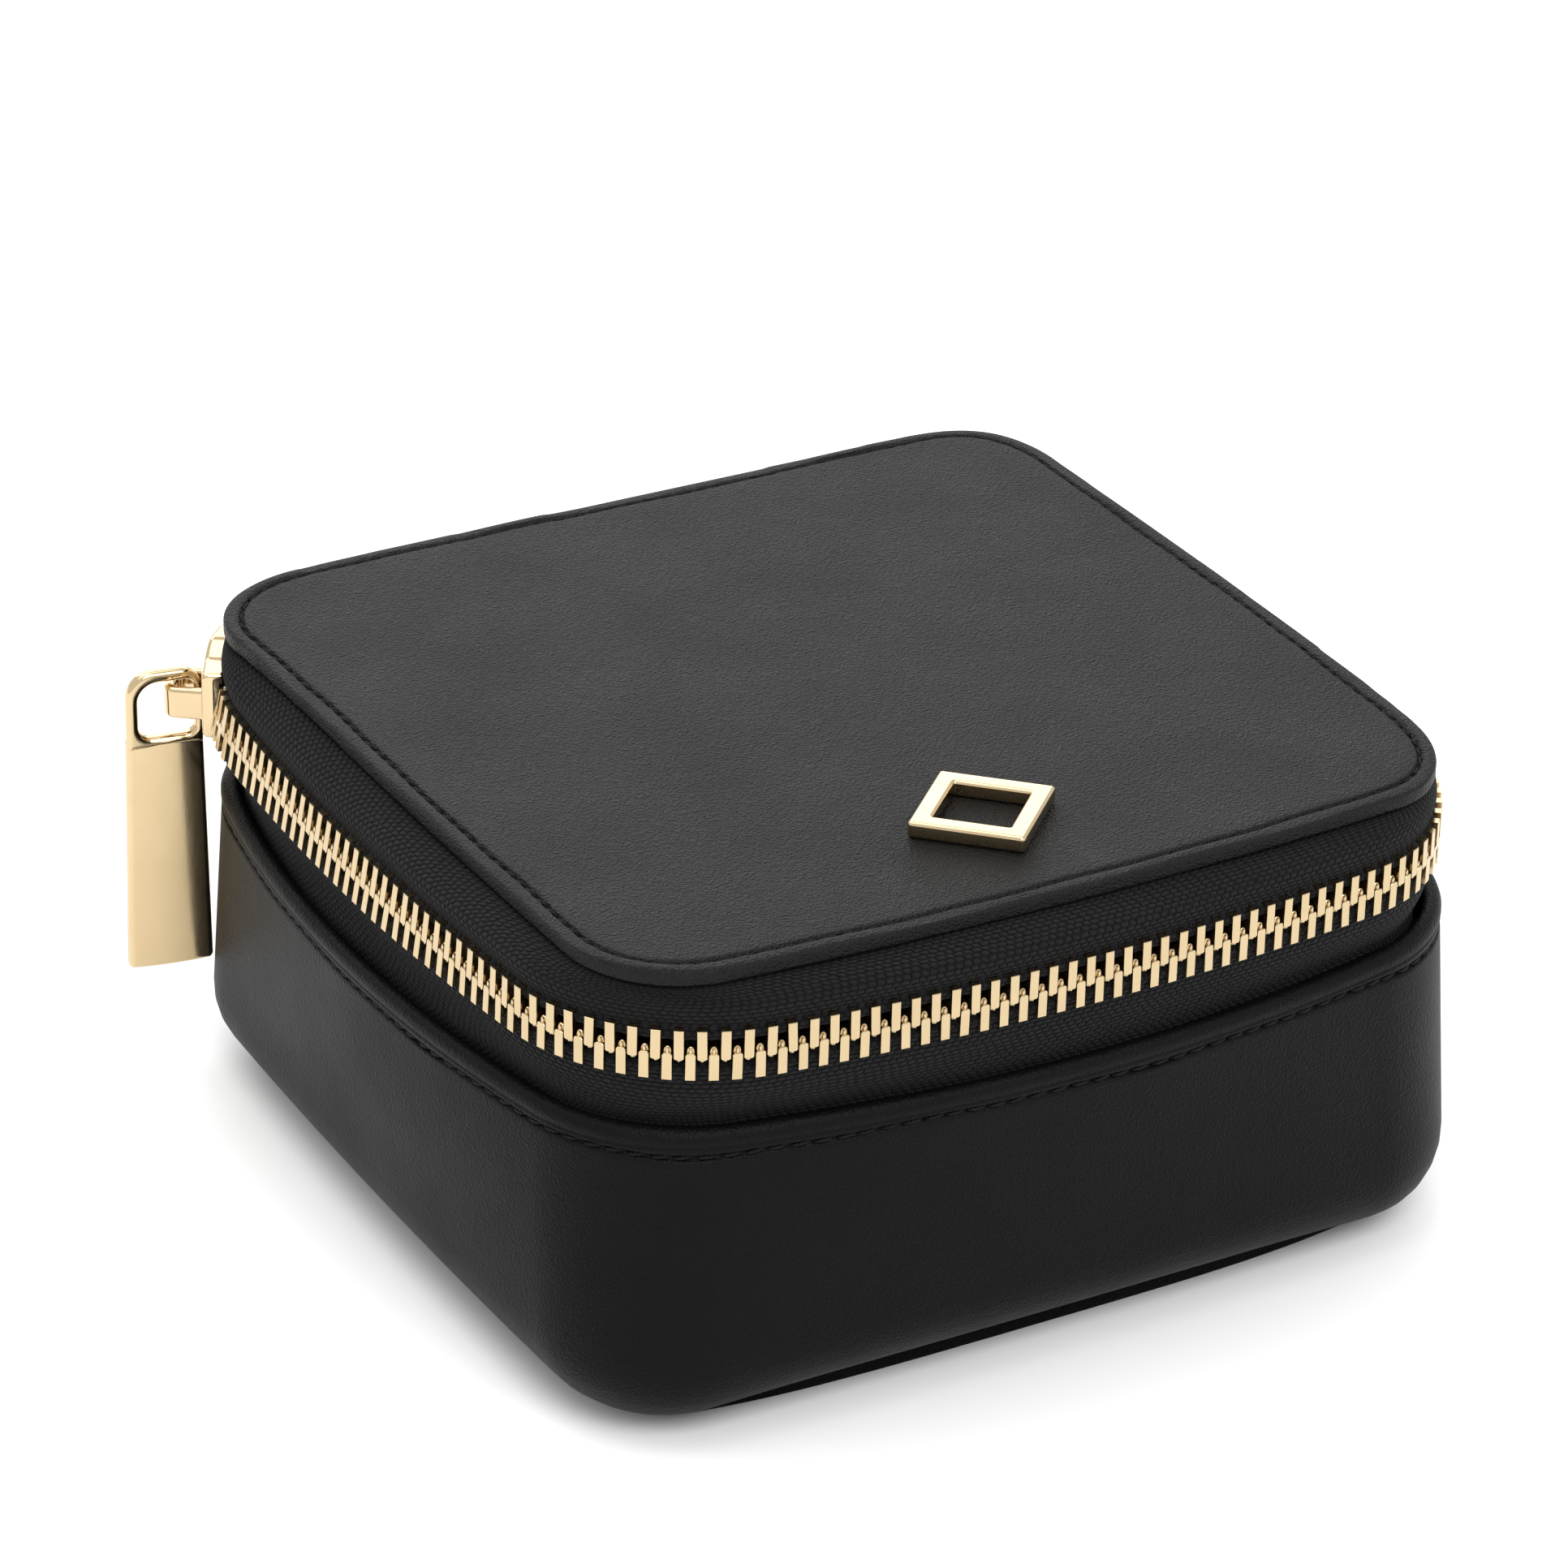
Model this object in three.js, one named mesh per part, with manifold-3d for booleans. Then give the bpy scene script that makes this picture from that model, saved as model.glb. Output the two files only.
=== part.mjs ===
// Zip-round leather jewellery case: moulded tray wrapped in leather, padded flat lid,
// metal zip on three sides, leather hinge at the back, hanging pull tab.
// Millimetres. X to the right along the front, Y to the hinge at the back, Z up.
// Origin: centre of the bottom panel's resting face.
import * as THREE from 'three';
import { mergeVertices } from 'three/addons/utils/BufferGeometryUtils.js';
import Module from 'manifold-3d';

const wasm = await Module();
wasm.setup();

// ---- driving dimensions -------------------------------------------------
// Plan outlines: corner centres (cx, cy), corner radius r, and the angles by
// which the side arcs (as), the front arc (af) and the back arc (ab) bow out.
const BASE_FOOT = { cx: 41.1, cy: 39.8, r: 14.8, as: 0.4, af: 0.4, ab: 0 };
const BASE_RIM = { cx: 35.5, cy: 32.6, r: 20.7, as: 12.8, af: 12.8, ab: 0 };
const CHAIN = { cx: 33.4, cy: 31.6, r: 21.8, as: 4.9, af: 7.5, ab: 0 };
const PANEL = { cx: 39.5, cy: 38.4, r: 13.2, as: 1.4, af: 4.4, ab: 0.6 };
const PAD = { cx: 34.5, cy: 33.0, r: 13.5, as: 3.3, af: 3.2, ab: 0 };

const RIM_Z = 38.1;            // top of the base's folded leather rim
const LEATHER_Z = 1.1;         // underside of the wrapped leather
const EDGE_R = 9.7;            // rounding between wall and underside
const LEATHER_T = 1.2;
const RIM_T = 2.0;             // folded leather along the rim
const TRAY_IN = 1.6;           // inset of the tray's outer face
const TRAY_T = 2.4;
const LINING_IN = 4.4;         // inset of the lining's outer face
const LINING_T = 0.8;
const FLOOR_PAD_T = 1.2;

const LID_TOP_Z = 56.5;
const PANEL_T = 1.8;           // turned edge of the lid panel
const CHAIN_Z = 47.3;          // middle of the closed zip
const CHAIN_H = 2.8;           // half height of the closed chain
const CHAIN_T = 1.4;           // half thickness of the teeth
const TOOTH_PITCH = 2.27;
const TOOTH_W = 0.95;
const TOOTH_REACH = 0.85;      // how far a tooth passes the middle line
const TAPE_T = 0.7;
const TAPE_STRAIGHT = 2.2;     // upright stretch of tape next to the teeth

const SLIDER_ANGLE = 144;      // place on the back left corner, degrees
const SLIDER_HALF_L = 4.6;
const PLATE_IN = 1.75;         // slider plate's inner face from the chain's mid surface
const PLATE_OUT = 3.35;
const BACKPLATE_OUT = 2.75;
const BRIDGE_TOP = 7.8;
const BRIDGE_T = 1.2;
const BRIDGE_W = 3.8;
const BRIDGE_Z = -1.0;         // bridge and tab sit a little below the zip's middle
const PULL_AXIS_N = 4.4;       // eye bar from the chain's mid surface
const PULL_TURN = 26;          // degrees the hanging tab stands turned from square to the zip

const ARC = 6;                 // steps in each corner
const SIDE = 4;                // steps on each side
const ROLLS = 7;
const ROLL_PITCH = 11.8;

const BLACK_LEATHER = [0x1d1c1e, 0.52, 0.0];
const BOARD = [0x6b5d4c, 0.85, 0.0];
const TWILL = [0x1b1b1f, 0.9, 0.0];
const SUEDE = [0x3b3a3d, 0.95, 0.0];
const GOLD = [0xe3c592, 0.22, 1.0];

// ---- helpers ------------------------------------------------------------
const rad = (d) => (d * Math.PI) / 180;
const group = new THREE.Group();

function geometryOf(points, faces) {
  const g = new THREE.BufferGeometry();
  g.setAttribute('position', new THREE.Float32BufferAttribute(points.flat(), 3));
  let vol = 0;
  for (const [a, b, c] of faces) {
    const [p, q, r] = [points[a], points[b], points[c]];
    vol += p[0] * (q[1] * r[2] - q[2] * r[1]) - p[1] * (q[0] * r[2] - q[2] * r[0]) + p[2] * (q[0] * r[1] - q[1] * r[0]);
  }
  g.setIndex((vol > 0 ? faces : faces.map(([a, b, c]) => [a, c, b])).flat());
  return g;
}

function add(name, geometry, look) {
  const g = geometry.clone();
  g.computeVertexNormals();
  const mesh = new THREE.Mesh(g, new THREE.MeshStandardMaterial({ color: look[0], roughness: look[1], metalness: look[2] }));
  mesh.name = name;
  group.add(mesh);
  return mesh;
}

function solid(geometry) {
  let g = geometry.index ? geometry.clone() : geometry.clone();
  for (const k of Object.keys(g.attributes)) if (k !== 'position') g.deleteAttribute(k);
  g = mergeVertices(g, 1e-4);
  return new wasm.Manifold(new wasm.Mesh({
    numProp: 3,
    vertProperties: new Float32Array(g.attributes.position.array),
    triVerts: new Uint32Array(g.index.array),
  }));
}

function fromSolid(m) {
  const mesh = m.getMesh();
  const g = new THREE.BufferGeometry();
  g.setAttribute('position', new THREE.BufferAttribute(new Float32Array(mesh.vertProperties), 3));
  g.setIndex(new THREE.BufferAttribute(new Uint32Array(mesh.triVerts), 1));
  return g;
}

const lerp = (p, q, t) => Object.fromEntries(Object.keys(p).map((k) => [k, p[k] + (q[k] - p[k]) * t]));
const baseAt = (z) => lerp(BASE_FOOT, BASE_RIM, Math.min(1, Math.max(0, z / RIM_Z)));

// One side arc between two corner joins, end points left out.
function sideArc(p0, p1, alpha, half, n) {
  const out = [];
  for (let i = 1; i < n; i++) {
    const t = i / n;
    if (alpha < 0.05) {
      out.push([p0[0] + (p1[0] - p0[0]) * t, p0[1] + (p1[1] - p0[1]) * t]);
      continue;
    }
    const chord = Math.hypot(p1[0] - p0[0], p1[1] - p0[1]);
    const R = chord / 2 / Math.sin(rad(alpha));
    const u = [(p1[0] - p0[0]) / chord, (p1[1] - p0[1]) / chord];
    const nrm = [u[1], -u[0]];
    const a = rad(-alpha + 2 * alpha * t);
    const along = chord / 2 + R * Math.sin(a);
    const out_ = R * (Math.cos(a) - Math.cos(rad(alpha)));
    out.push([p0[0] + u[0] * along + nrm[0] * out_, p0[1] + u[1] * along + nrm[1] * out_]);
  }
  return out;
}

// Closed plan outline, anticlockwise, starting where the back left corner meets
// the back. The first ZIP_N points are the zip's way round three sides.
function outline(spec, inset = 0, arc = ARC, side = SIDE) {
  const r = Math.max(0.4, spec.r - inset);
  const { cx, cy } = spec;
  const corner = (sx, sy, from, to) => {
    const pts = [];
    for (let i = 0; i <= arc; i++) {
      const a = rad(from + ((to - from) * i) / arc);
      pts.push([sx * cx + r * Math.cos(a), sy * cy + r * Math.sin(a)]);
    }
    return pts;
  };
  const bl = corner(-1, 1, 90 + spec.ab, 180 - spec.as);
  const fl = corner(-1, -1, 180 + spec.as, 270 - spec.af);
  const fr = corner(1, -1, 270 + spec.af, 360 - spec.as);
  const br = corner(1, 1, spec.as, 90 - spec.ab);
  const last = (p) => p[p.length - 1];
  return [
    ...bl, ...sideArc(last(bl), fl[0], spec.as, 0, side),
    ...fl, ...sideArc(last(fl), fr[0], spec.af, 0, side),
    ...fr, ...sideArc(last(fr), br[0], spec.as, 0, side),
    ...br, ...sideArc(last(br), bl[0], spec.ab, 0, side),
  ];
}
const ZIP_N = 4 * (ARC + 1) + 3 * (SIDE - 1);

const row = (spec, inset, z) => outline(spec, inset).map(([x, y]) => [x, y, z]);

// Both skins of a wall split their quads along the same slant, so they stay parallel.
const split = (rows, i, k, a, b, c, d) => (rows[k][0][2] < rows[i][0][2]
  ? [[a, b, c], [b, d, c]]
  : [[a, b, d], [a, d, c]]);

// Rows joined into a closed ring, like a bent tube with any section.
function ringLoft(rows) {
  const n = rows[0].length;
  const m = rows.length;
  const faces = [];
  for (let i = 0; i < m; i++) {
    for (let j = 0; j < n; j++) {
      const a = i * n + j;
      const b = i * n + ((j + 1) % n);
      const c = ((i + 1) % m) * n + j;
      const d = ((i + 1) % m) * n + ((j + 1) % n);
      faces.push(...split(rows, i, (i + 1) % m, a, b, c, d));
    }
  }
  return geometryOf(rows.flat(), faces);
}

// Rows stacked from one flat cap to another.
function plateLoft(rows) {
  const n = rows[0].length;
  const m = rows.length;
  const pts = rows.flat();
  const faces = [];
  for (let i = 0; i < m - 1; i++) {
    for (let j = 0; j < n; j++) {
      const a = i * n + j;
      const b = i * n + ((j + 1) % n);
      faces.push(...split(rows, i, i + 1, a, b, a + n, b + n));
    }
  }
  const mid = (r) => [0, 1, 2].map((k) => r.reduce((s, p) => s + p[k], 0) / n);
  pts.push(mid(rows[0]), mid(rows[m - 1]));
  for (let j = 0; j < n; j++) {
    faces.push([j, m * n, (j + 1) % n]);
    faces.push([(m - 1) * n + j, (m - 1) * n + ((j + 1) % n), m * n + 1]);
  }
  return geometryOf(pts, faces);
}

// Stations (polygons with the same number of points) joined along a way, with
// both ends closed; the section's triangulation comes from its flat outline.
function stationLoft(stations, flat) {
  const n = stations[0].length;
  const m = stations.length;
  const faces = [];
  for (let i = 0; i < m - 1; i++) {
    for (let j = 0; j < n; j++) {
      const a = i * n + j;
      const b = i * n + ((j + 1) % n);
      faces.push([a, b, b + n], [a, b + n, a + n]);
    }
  }
  const ccw = THREE.ShapeUtils.area(flat.map(([x, y]) => new THREE.Vector2(x, y))) > 0;
  const tris = THREE.ShapeUtils.triangulateShape(flat.map(([x, y]) => new THREE.Vector2(x, y)), []);
  for (const [a, b, c] of tris) {
    const t = ccw ? [a, c, b] : [a, b, c];
    const far = t.map((k) => k + (m - 1) * n);
    if (ccw) {
      faces.push([t[0], t[1], t[2]], [far[0], far[2], far[1]]);
    } else {
      faces.push([t[0], t[2], t[1]], [far[0], far[1], far[2]]);
    }
  }
  return fixWinding(geometryOf(stations.flat(), faces));
}

// Makes neighbouring triangles agree, then points the whole skin outward.
function fixWinding(g) {
  const idx = Array.from(g.index.array);
  const T = idx.length / 3;
  const edges = new Map();
  for (let t = 0; t < T; t++) {
    for (let k = 0; k < 3; k++) {
      const a = idx[3 * t + k];
      const b = idx[3 * t + ((k + 1) % 3)];
      const key = a < b ? `${a}_${b}` : `${b}_${a}`;
      if (!edges.has(key)) edges.set(key, []);
      edges.get(key).push([t, a, b]);
    }
  }
  const seen = new Array(T).fill(false);
  const flip = new Array(T).fill(false);
  const stack = [0];
  seen[0] = true;
  while (stack.length) {
    const t = stack.pop();
    for (let k = 0; k < 3; k++) {
      const a = idx[3 * t + k];
      const b = idx[3 * t + ((k + 1) % 3)];
      const key = a < b ? `${a}_${b}` : `${b}_${a}`;
      for (const [u, ua, ub] of edges.get(key)) {
        if (u === t || seen[u]) continue;
        const same = ua === a && ub === b;
        flip[u] = same ? !flip[t] : flip[t];
        seen[u] = true;
        stack.push(u);
      }
    }
  }
  const pos = g.attributes.position.array;
  const faces = [];
  for (let t = 0; t < T; t++) {
    const f = [idx[3 * t], idx[3 * t + 1], idx[3 * t + 2]];
    faces.push(flip[t] ? [f[0], f[2], f[1]] : f);
  }
  const pts = [];
  for (let i = 0; i < pos.length; i += 3) pts.push([pos[i], pos[i + 1], pos[i + 2]]);
  return geometryOf(pts, faces);
}

// Rounded lower edge of the base at a given depth inside its outer face.
function edgeRows(depth, angles = [0, 30, 60, 90]) {
  const R = EDGE_R - depth;
  return angles.map((a) => {
    const z = LEATHER_Z + depth + R * (1 - Math.cos(rad(a)));
    return row(baseAt(z), depth + R * (1 - Math.sin(rad(a))), z);
  });
}

// ---- base ---------------------------------------------------------------
const foldZ = RIM_Z - 5.2;
add('base_leather', ringLoft([
  row(baseAt(LEATHER_Z), EDGE_R + 5, LEATHER_Z),
  ...edgeRows(0),
  row(baseAt(25), 0, 25),
  row(BASE_RIM, 0, RIM_Z - 0.6),
  row(BASE_RIM, 0.6, RIM_Z),
  row(BASE_RIM, RIM_T, RIM_Z),
  row(baseAt(foldZ), RIM_T, foldZ),
  row(baseAt(foldZ - 0.6), LEATHER_T, foldZ - 0.6),
  row(baseAt(25), LEATHER_T, 25),
  ...edgeRows(LEATHER_T).reverse(),
  row(baseAt(LEATHER_Z), EDGE_R + 5, LEATHER_Z + LEATHER_T),
]), BLACK_LEATHER);

add('base_tray_shell', plateLoft([
  ...edgeRows(TRAY_IN),
  row(baseAt(25), TRAY_IN, 25),
  row(baseAt(32.4), TRAY_IN, 32.4),
  row(baseAt(32.5), TRAY_IN + 1.7, 32.5),
  row(baseAt(38.2), TRAY_IN + 1.7, 38.2),
  row(baseAt(38.2), TRAY_IN + TRAY_T, 38.2),
  row(baseAt(25), TRAY_IN + TRAY_T, 25),
  ...edgeRows(TRAY_IN + TRAY_T).reverse(),
]), BOARD);

add('base_bottom_panel', plateLoft([
  row(BASE_FOOT, 9.3, 0),
  row(BASE_FOOT, 8.9, 0.3),
  row(BASE_FOOT, 8.9, 0.9),
]), BLACK_LEATHER);

add('base_wall_lining', ringLoft([
  ...edgeRows(LINING_IN),
  row(baseAt(25), LINING_IN, 25),
  row(baseAt(40.4), LINING_IN, 40.4),
  row(baseAt(40.4), LINING_IN + LINING_T, 40.4),
  row(baseAt(25), LINING_IN + LINING_T, 25),
  ...edgeRows(LINING_IN + LINING_T).reverse(),
]), SUEDE);

const padZ = LEATHER_Z + TRAY_IN + TRAY_T + 0.3;
add('base_floor_pad', plateLoft([
  row(baseAt(padZ), EDGE_R + 0.9, padZ),
  row(baseAt(padZ), EDGE_R + 0.9, padZ + FLOOR_PAD_T - 0.4),
  row(baseAt(padZ), EDGE_R + 1.4, padZ + FLOOR_PAD_T),
]), SUEDE);
const floorZ = padZ + FLOOR_PAD_T + 0.3;

// Long and cross partitions that split the tray.
const PART_X = -12.5;
const box = (x0, x1, y0, y1, z0, z1) => {
  const g = new THREE.BoxGeometry(x1 - x0, y1 - y0, z1 - z0);
  g.translate((x0 + x1) / 2, (y0 + y1) / 2, (z0 + z1) / 2);
  return g;
};
const roundTopWall = (half, h, r) => {
  const s = new THREE.Shape();
  s.moveTo(-half, 0);
  s.lineTo(half, 0);
  s.lineTo(half, h - r);
  s.absarc(0, h - r, half, 0, Math.PI, false);
  s.lineTo(-half, 0);
  return s;
};
{
  const g = new THREE.ExtrudeGeometry(roundTopWall(1.1, 27, 1.1), { depth: 92, bevelEnabled: false, curveSegments: 6 });
  g.rotateX(Math.PI / 2);
  g.translate(PART_X, 46, floorZ);
  add('partition_long', g, SUEDE);
  const c = new THREE.ExtrudeGeometry(roundTopWall(1.1, 24, 1.1), { depth: 59.0, bevelEnabled: false, curveSegments: 6 });
  c.rotateX(Math.PI / 2);
  c.rotateZ(Math.PI / 2);
  c.translate(PART_X + 1.4, 4, floorZ);
  add('partition_cross', c, SUEDE);
}

// Ring rolls: padded bars side by side; rings stand in the slots between them.
{
  const half = 5.15;
  const s = new THREE.Shape();
  s.moveTo(-half, 0);
  s.lineTo(half, 0);
  s.lineTo(half, 10.5);
  s.absarc(0, 10.5, half, 0, Math.PI, false);
  s.lineTo(-half, 0);
  for (let i = 0; i < ROLLS; i++) {
    const g = new THREE.ExtrudeGeometry(s, { depth: 33.2, bevelEnabled: false, curveSegments: 8 });
    g.rotateX(Math.PI / 2);
    g.rotateZ(Math.PI / 2);
    g.translate(-47.4, (i - (ROLLS - 1) / 2) * ROLL_PITCH, floorZ);
    add(`ring_roll_${i + 1}`, g, SUEDE);
  }
}

// ---- zip ----------------------------------------------------------------
// Tape: a strip round three sides, from inside the rim (or from under the lid
// panel) to the teeth.
function zipStrip(sections) {
  // Near the slider the chains part, so the tapes' toothed edges step back with them.
  const back = (j) => (j <= ARC ? Math.min(1, Math.max(0, ARC - j)) * 1.45 : 0);
  const rows = sections.map(([spec, inset, z, edge]) => outline(spec, inset).slice(0, ZIP_N).map(([x, y], j) => [x, y, z + (edge || 0) * back(j)]));
  const stations = [];
  for (let j = 0; j < ZIP_N; j++) stations.push(rows.map((r) => r[j]));
  // The section's flat outline, for closing the two ends.
  const flat = sections.map(([spec, inset, z]) => [spec.cy + spec.r - inset, z]);
  return stationLoft(stations, flat);
}
const zc = CHAIN_Z;
const h = CHAIN_H + 0.3;
const rimIn = RIM_T + 0.3;
add('zip_tape_lower', zipStrip([
  [baseAt(33), rimIn, 33.0],
  [BASE_RIM, rimIn, 38.4],
  [CHAIN, -TAPE_T / 2, zc - h - TAPE_STRAIGHT],
  [CHAIN, -TAPE_T / 2, zc - h, -1],
  [CHAIN, TAPE_T / 2, zc - h, -1],
  [CHAIN, TAPE_T / 2, zc - h - TAPE_STRAIGHT],
  [BASE_RIM, rimIn + TAPE_T, 38.4],
  [baseAt(33), rimIn + TAPE_T, 33.0],
]), TWILL);

const underPanel = LID_TOP_Z - PANEL_T - 0.3;
add('zip_tape_upper', zipStrip([
  [CHAIN, -TAPE_T / 2, zc + h, 1],
  [CHAIN, -TAPE_T / 2, zc + h + TAPE_STRAIGHT + 0.1],
  [PANEL, 1.0, underPanel],
  [PANEL, 4.6, underPanel],
  [PANEL, 4.6, underPanel - TAPE_T],
  [PANEL, 1.8, underPanel - TAPE_T],
  [CHAIN, TAPE_T / 2, zc + h + TAPE_STRAIGHT - 0.1],
  [CHAIN, TAPE_T / 2, zc + h, 1],
]), TWILL);

// Way of the chain: fine points with the length along them.
const way = (() => {
  const full = outline(CHAIN, 0, 24, 24);
  const n = 4 * 25 + 3 * 23;
  const pts = full.slice(0, n);
  const s = [0];
  for (let i = 1; i < n; i++) s.push(s[i - 1] + Math.hypot(pts[i][0] - pts[i - 1][0], pts[i][1] - pts[i - 1][1]));
  return { pts, s, length: s[n - 1] };
})();
function onWay(s, n) {
  let i = 1;
  while (i < way.s.length - 1 && way.s[i] < s) i++;
  const a = way.pts[i - 1];
  const b = way.pts[i];
  const L = way.s[i] - way.s[i - 1];
  const t = (s - way.s[i - 1]) / L;
  const tan = (k) => {
    const p = way.pts[Math.max(0, k - 1)];
    const q = way.pts[Math.min(way.pts.length - 1, k + 1)];
    const d = Math.hypot(q[0] - p[0], q[1] - p[1]);
    return [(q[0] - p[0]) / d, (q[1] - p[1]) / d];
  };
  const t0 = tan(i - 1);
  const t1 = tan(i);
  const u = [t0[0] + (t1[0] - t0[0]) * t, t0[1] + (t1[1] - t0[1]) * t];
  const m = Math.hypot(u[0], u[1]);
  const nrm = [u[1] / m, -u[0] / m];
  return [a[0] + (b[0] - a[0]) * t + nrm[0] * n, a[1] + (b[1] - a[1]) * t + nrm[1] * n];
}
const sliderS = (rad(SLIDER_ANGLE - 90)) * CHAIN.r;
// The two chains part round the slider's nose and stay apart up to their ends.
const part = (s) => {
  const t = Math.min(1, Math.max(0, (sliderS + 1.6 - s) / 3.6));
  return 1.45 * t * t * (3 - 2 * t);
};
const TOOTH_N = Math.floor((way.length - 1.2 - 1.4) / TOOTH_PITCH - 0.5);
function chain(sign) {
  const pts = [];
  const faces = [];
  const off = sign > 0 ? 0.5 : 0;
  const start = 1.2;
  const p = (s, n, z) => {
    const [x, y] = onWay(s, n);
    pts.push([x, y, zc + sign * (z + part(s))]);
    return pts.length - 1;
  };
  // z is measured from the middle line to the chain's own side.
  const lo = CHAIN_H;
  const root = 1.7;
  const tip = -TOOTH_REACH;
  const cells = [];
  for (let i = 0; i < TOOTH_N; i++) {
    const s = start + (i + off + 0.5) * TOOTH_PITCH;
    const cell = { B: [], L0: [], L1: [], R0: [], R1: [] };
    for (const n of [CHAIN_T, -CHAIN_T]) {
      cell.B.push(p(s - TOOTH_PITCH / 2, n, lo));
      cell.L0.push(p(s - TOOTH_W / 2, n, root));
      cell.L1.push(p(s - TOOTH_W / 2, n, tip));
      cell.R1.push(p(s + TOOTH_W / 2, n, tip));
      cell.R0.push(p(s + TOOTH_W / 2, n, root));
    }
    cells.push(cell);
  }
  const sEnd = start + (TOOTH_N - 1 + off + 0.5) * TOOTH_PITCH + TOOTH_PITCH / 2;
  const last = [p(sEnd, CHAIN_T, lo), p(sEnd, -CHAIN_T, lo)];
  const quad = (a, b, c, d) => faces.push([a, b, c], [a, c, d]);
  for (let i = 0; i < TOOTH_N; i++) {
    const c = cells[i];
    const nextB = i < TOOTH_N - 1 ? cells[i + 1].B : last;
    for (const k of [0, 1]) {
      const f = [
        [c.B[k], nextB[k], c.R0[k]], [c.B[k], c.R0[k], c.L0[k]],
        [c.L0[k], c.R0[k], c.R1[k]], [c.L0[k], c.R1[k], c.L1[k]],
      ];
      if (i < TOOTH_N - 1) f.push([nextB[k], cells[i + 1].L0[k], c.R0[k]]);
      for (const t of f) faces.push(t);
    }
    quad(c.B[0], c.B[1], nextB[1], nextB[0]);
    quad(c.L0[0], c.L1[0], c.L1[1], c.L0[1]);
    quad(c.L1[0], c.R1[0], c.R1[1], c.L1[1]);
    quad(c.R1[0], c.R0[0], c.R0[1], c.R1[1]);
    if (i < TOOTH_N - 1) quad(c.R0[0], cells[i + 1].L0[0], cells[i + 1].L0[1], c.R0[1]);
    else quad(c.R0[0], last[0], last[1], c.R0[1]);
    if (i === 0) quad(c.B[0], c.L0[0], c.L0[1], c.B[1]);
  }
  return fixWinding(geometryOf(pts, faces));
}
add('zip_teeth_lower', chain(-1), GOLD);
add('zip_teeth_upper', chain(1), GOLD);

// End stop that clamps both chains where the zip ends at the back right.
const along = (name, s0, s1, n0, n1, z0, z1, look) => {
  const sec = [[n0, z0], [n1, z0], [n1, z1], [n0, z1]];
  const st = [];
  for (let i = 0; i <= 2; i++) {
    const s = s0 + ((s1 - s0) * i) / 2;
    st.push(sec.map(([n, z]) => [...onWay(s, n), z]));
  }
  return stationLoft(st, sec);
};
add('zip_end_stop', along('zip_end_stop', way.length - 1.0, way.length - 0.1, -1.2, 1.2, zc - 3.0, zc + 3.0), GOLD);
add('zip_top_stop_lower', along('zip_top_stop_lower', 0.1, 0.85, -1.2, 1.2, zc - 4.1, zc - 0.6), GOLD);
add('zip_top_stop_upper', along('zip_top_stop_upper', 0.1, 0.85, -1.2, 1.2, zc + 0.6, zc + 4.1), GOLD);

// ---- hinge --------------------------------------------------------------
const HINGE_Y = CHAIN.cy + CHAIN.r;
{
  const yr = BASE_RIM.cy + BASE_RIM.r - rimIn;
  const yf = baseAt(33).cy + baseAt(33).r - rimIn;
  const s = new THREE.Shape([
    [yf, 33.0], [yr, 38.4], [HINGE_Y + 0.5, 43.2], [HINGE_Y + 0.5, 51.4], [50.3, underPanel], [47.8, underPanel],
    [47.8, underPanel - 0.7], [49.7, underPanel - 0.7], [HINGE_Y - 0.5, 51.0], [HINGE_Y - 0.5, 43.4], [yr - 0.7, 38.6], [yf - 0.7, 33.0],
  ].map(([y, z]) => new THREE.Vector2(y, z)));
  const w = CHAIN.cx - 0.5;
  const g = new THREE.ExtrudeGeometry(s, { depth: 2 * w, bevelEnabled: false });
  const m = new THREE.Matrix4().set(0, 0, 1, -w, 1, 0, 0, 0, 0, 1, 0, 0, 0, 0, 0, 1);
  g.applyMatrix4(m);
  add('hinge_strip', g, BLACK_LEATHER);
}

// ---- lid ----------------------------------------------------------------
const cyl = (x, y, r, z0, z1, seg = 12) => {
  const g = new THREE.CylinderGeometry(r, r, z1 - z0, seg);
  g.rotateX(Math.PI / 2);
  g.translate(x, y, (z0 + z1) / 2);
  return g;
};
const BADGE = { x: -1.7, y: -36.0, halfL: 9.2, halfW: 8.8, bar: 2.2, top: 1.9 };
const POSTS = [[-BADGE.halfL + 1.9, 0], [BADGE.halfL - 1.9, 0]].map(([u]) => [BADGE.x + u, BADGE.y]);
let leather = solid(plateLoft([
  row(PANEL, 0.9, LID_TOP_Z), row(PANEL, 0.25, LID_TOP_Z - 0.25), row(PANEL, 0, LID_TOP_Z - 0.9), row(PANEL, 0.25, LID_TOP_Z - 1.55), row(PANEL, 0.9, LID_TOP_Z - PANEL_T),
  row(PANEL, 5.0, LID_TOP_Z - PANEL_T), row(PANEL, 5.0, LID_TOP_Z - 1.1),
]));
const BOARD_TOP = LID_TOP_Z - 1.4;
const BOARD_BOT = BOARD_TOP - 1.5;
let board = solid(plateLoft([row(PANEL, 5.3, BOARD_BOT), row(PANEL, 5.3, BOARD_TOP)]));
const PAD_TOP = BOARD_BOT - 0.9;
let pad = solid(plateLoft([row(PAD, 0.8, PAD_TOP - 1.7), row(PAD, 0, PAD_TOP - 1.2), row(PAD, 0, PAD_TOP)]));
for (const [x, y] of POSTS) {
  leather = leather.subtract(solid(cyl(x, y, 1.3, 50, 60)));
  board = board.subtract(solid(cyl(x, y, 1.3, 50, 60)));
  pad = pad.subtract(solid(cyl(x, y, 1.3, 51.9, 60)));
}
add('lid_leather', fromSolid(leather), BLACK_LEATHER);
add('lid_board', fromSolid(board), BOARD);
add('lid_lining_pad', fromSolid(pad), SUEDE);

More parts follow.
